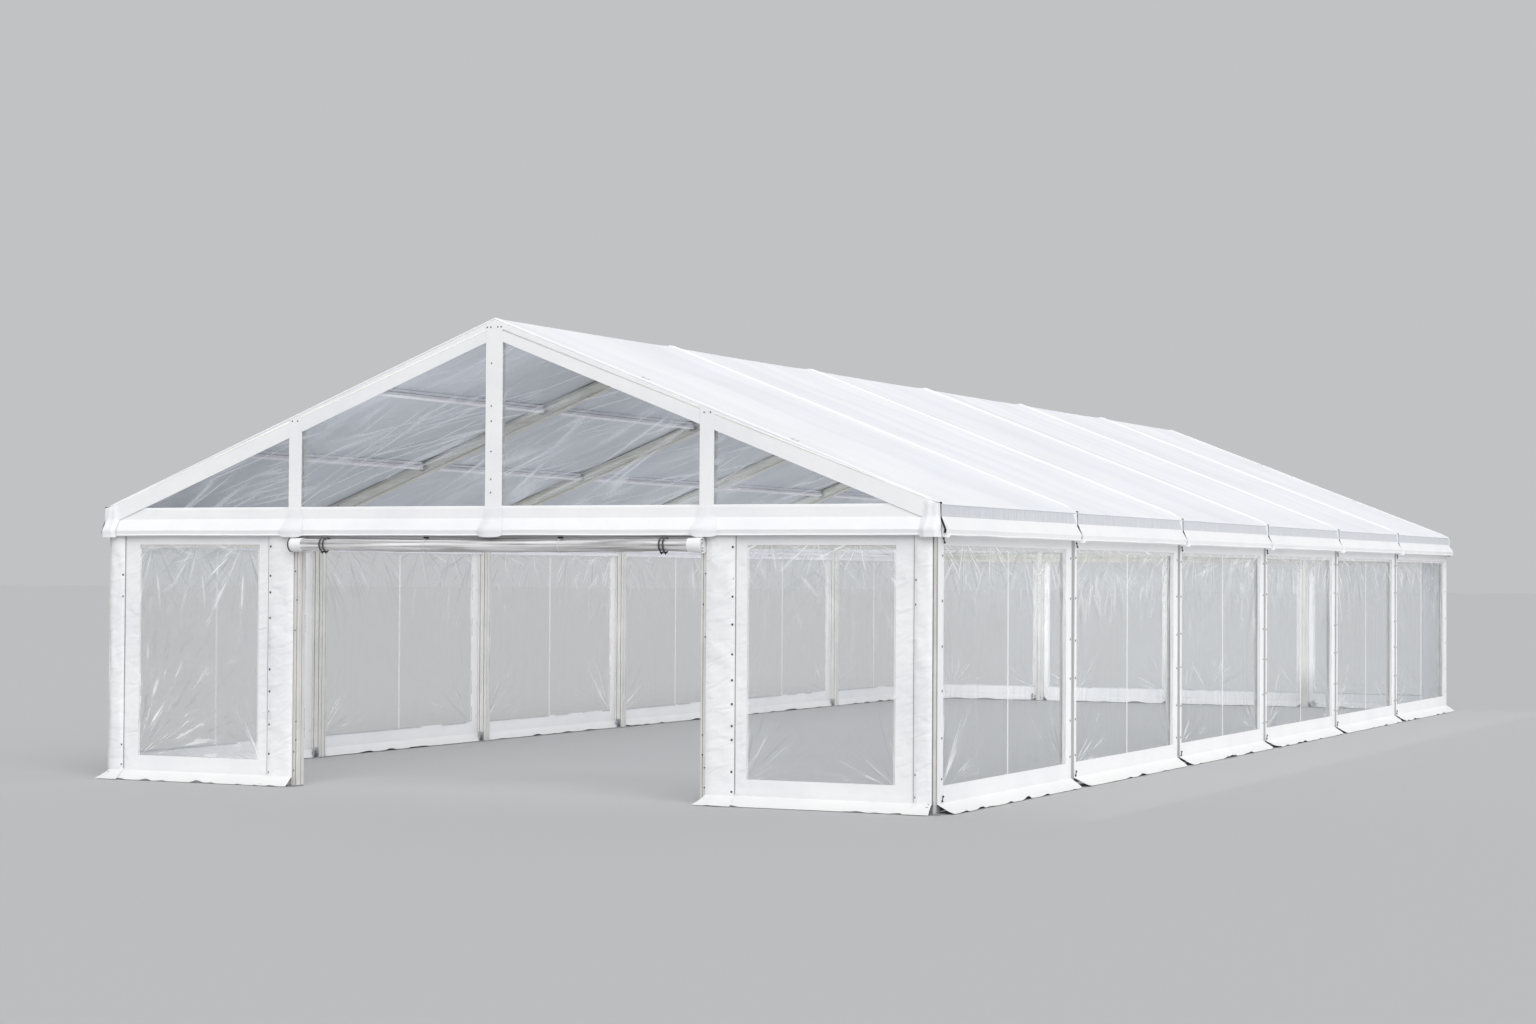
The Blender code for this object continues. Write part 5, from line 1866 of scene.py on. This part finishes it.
# %% Side fittings
SIDE_EYELET_ZS = [2.52, 2.08, 1.62, 1.20, 0.74, 0.34]
CORD_ENDS = [((0.040, 2.690), (0.068, 2.648)), ((0.055, 0.165), (0.030, 0.120))]


def toggle_cord(sign, start, end):
    """A shock cord with a toggle at each end, on a side wall, each end (along, up)."""
    out = sign * (FACE_X + COVER_OUT + 0.010)
    cord = rod("cord", (out, *start), (out, *end), 0.0045, 8, edge=0.001)
    toggles = [rod("toggle", (out - sign * 0.006, *at), (out + sign * 0.008, *at), 0.010, 10,
                   edge=0.003) for at in (start, end)]
    return [finished(cord, SHOCK_CORD), *(finished(toggle, RUBBER) for toggle in toggles)]


cords = []
for sign in (-1, 1):
    face = sign * (FACE_X + COVER_OUT + 0.002)
    for bay, (start_y, end_y) in enumerate(zip(FRAME_YS, FRAME_YS[1:])):
        near, far = start_y + PANEL_EDGE, end_y - PANEL_EDGE
        for number, z in enumerate(SIDE_EYELET_ZS):
            shift = 0.03 * wave(bay * 1.3 + number * 0.7, sign * 2.0)
            for y in (near + 0.030, far - 0.035):
                eyelets.append(move(face, y, z + shift) @ spin(90 * sign, "Y"))
        for ends in CORD_ENDS:
            cords += toggle_cord(sign, *((near + along, z) for along, z in ends))
keep(joined("toggle_cords", cords))
keep(copies("eyelets", ring_pattern(), eyelets))
screw = rod("screw", (0, 0, -0.001), (0, 0, 0.004), 0.0075, 8, edge=0.001)
keep(copies("small_screws", screw, screws), RUBBER)

# %% [markdown]
# ## Studio
# A plain pale floor and backdrop in one tone, and light as an overcast sky gives: very wide and
# soft from above and the front right, with less from behind. White covers let part of the
# daylight through, which opaque sheets would not, so wide lamps in the tent, unseen themselves,
# shine down from the roof, up off the floor, and in from the gable and each bay's windows, and one
# outside gives the right wall the light that pale ground would throw back. The floor is stage.

# %% Studio
bpy.context.scene.view_settings.view_transform = "Standard"
bpy.context.scene.cycles.transparent_max_bounces = 24
deselect()
bpy.ops.mesh.primitive_circle_add(vertices=96, radius=400, fill_type="NGON",
                                  location=(0, 0, -0.001))
bpy.ops.object.transform_apply(location=True, rotation=True, scale=True)
floor = named("floor")
finished(floor, new_finish("pale_floor", 0.9, colour="#B8B8B8")[0])
floor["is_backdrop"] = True

world = bpy.data.worlds.new("studio")
world.use_nodes = True
world.node_tree.nodes["Background"].inputs["Color"].default_value = linear("#C1C2C4")
world.node_tree.nodes["Background"].inputs["Strength"].default_value = 1.0
bpy.context.scene.world = world


def lamp(name, light, aim, at=(0, 0, 0)):
    """Puts a light in its place, shining along aim."""
    shown = bpy.data.objects.new(name, light)
    shown.location = at
    shown.rotation_euler = Vector(aim).to_track_quat("-Z", "Y").to_euler()
    shown.visible_camera = shown.visible_glossy = False
    bpy.context.scene.collection.objects.link(shown)


for name, aim, strength, wide in (("daylight", (-0.50, 0.62, -0.60), 2.08, 60),
                                  ("daylight_from_behind", (0.50, -0.62, -0.60), 0.60, 100)):
    light = bpy.data.lights.new(name, "SUN")
    light.energy, light.angle = strength, math.radians(wide)
    lamp(name, light, aim)

wide_lamps = [("light_through_the_roof", (0, 0, 3.02), (0, 0, -1), 9.2, 23.4, 430, 180),
              ("light_off_the_floor", (0, 0, 2.40), (0, 0, 1), 9.2, 23.4, 90, 180),
              ("light_through_the_gable", (0, FRAME_YS[0] + 0.3, 3.55), (0, 1, 0.05),
               4.4, 1.1, 22, 180),
              ("light_off_the_ground", (FACE_X + 2.5, 0, 0.75), (-0.66, 0, 0.75),
               24, 2.0, 120, 180)]
wide_lamps += [(f"light_through_the_windows_{number}", (0, y + 2, 1.5), (-0.45, 0.89, 0.06),
                7.0, 2.0, 20, 80) for number, y in enumerate(FRAME_YS[:-1], start=1)]
for name, at, aim, wide, tall, power, spread in wide_lamps:
    light = bpy.data.lights.new(name, "AREA")
    light.shape, light.size, light.size_y = "RECTANGLE", wide, tall
    light.energy, light.spread = power, math.radians(spread)
    lamp(name, light, aim, at)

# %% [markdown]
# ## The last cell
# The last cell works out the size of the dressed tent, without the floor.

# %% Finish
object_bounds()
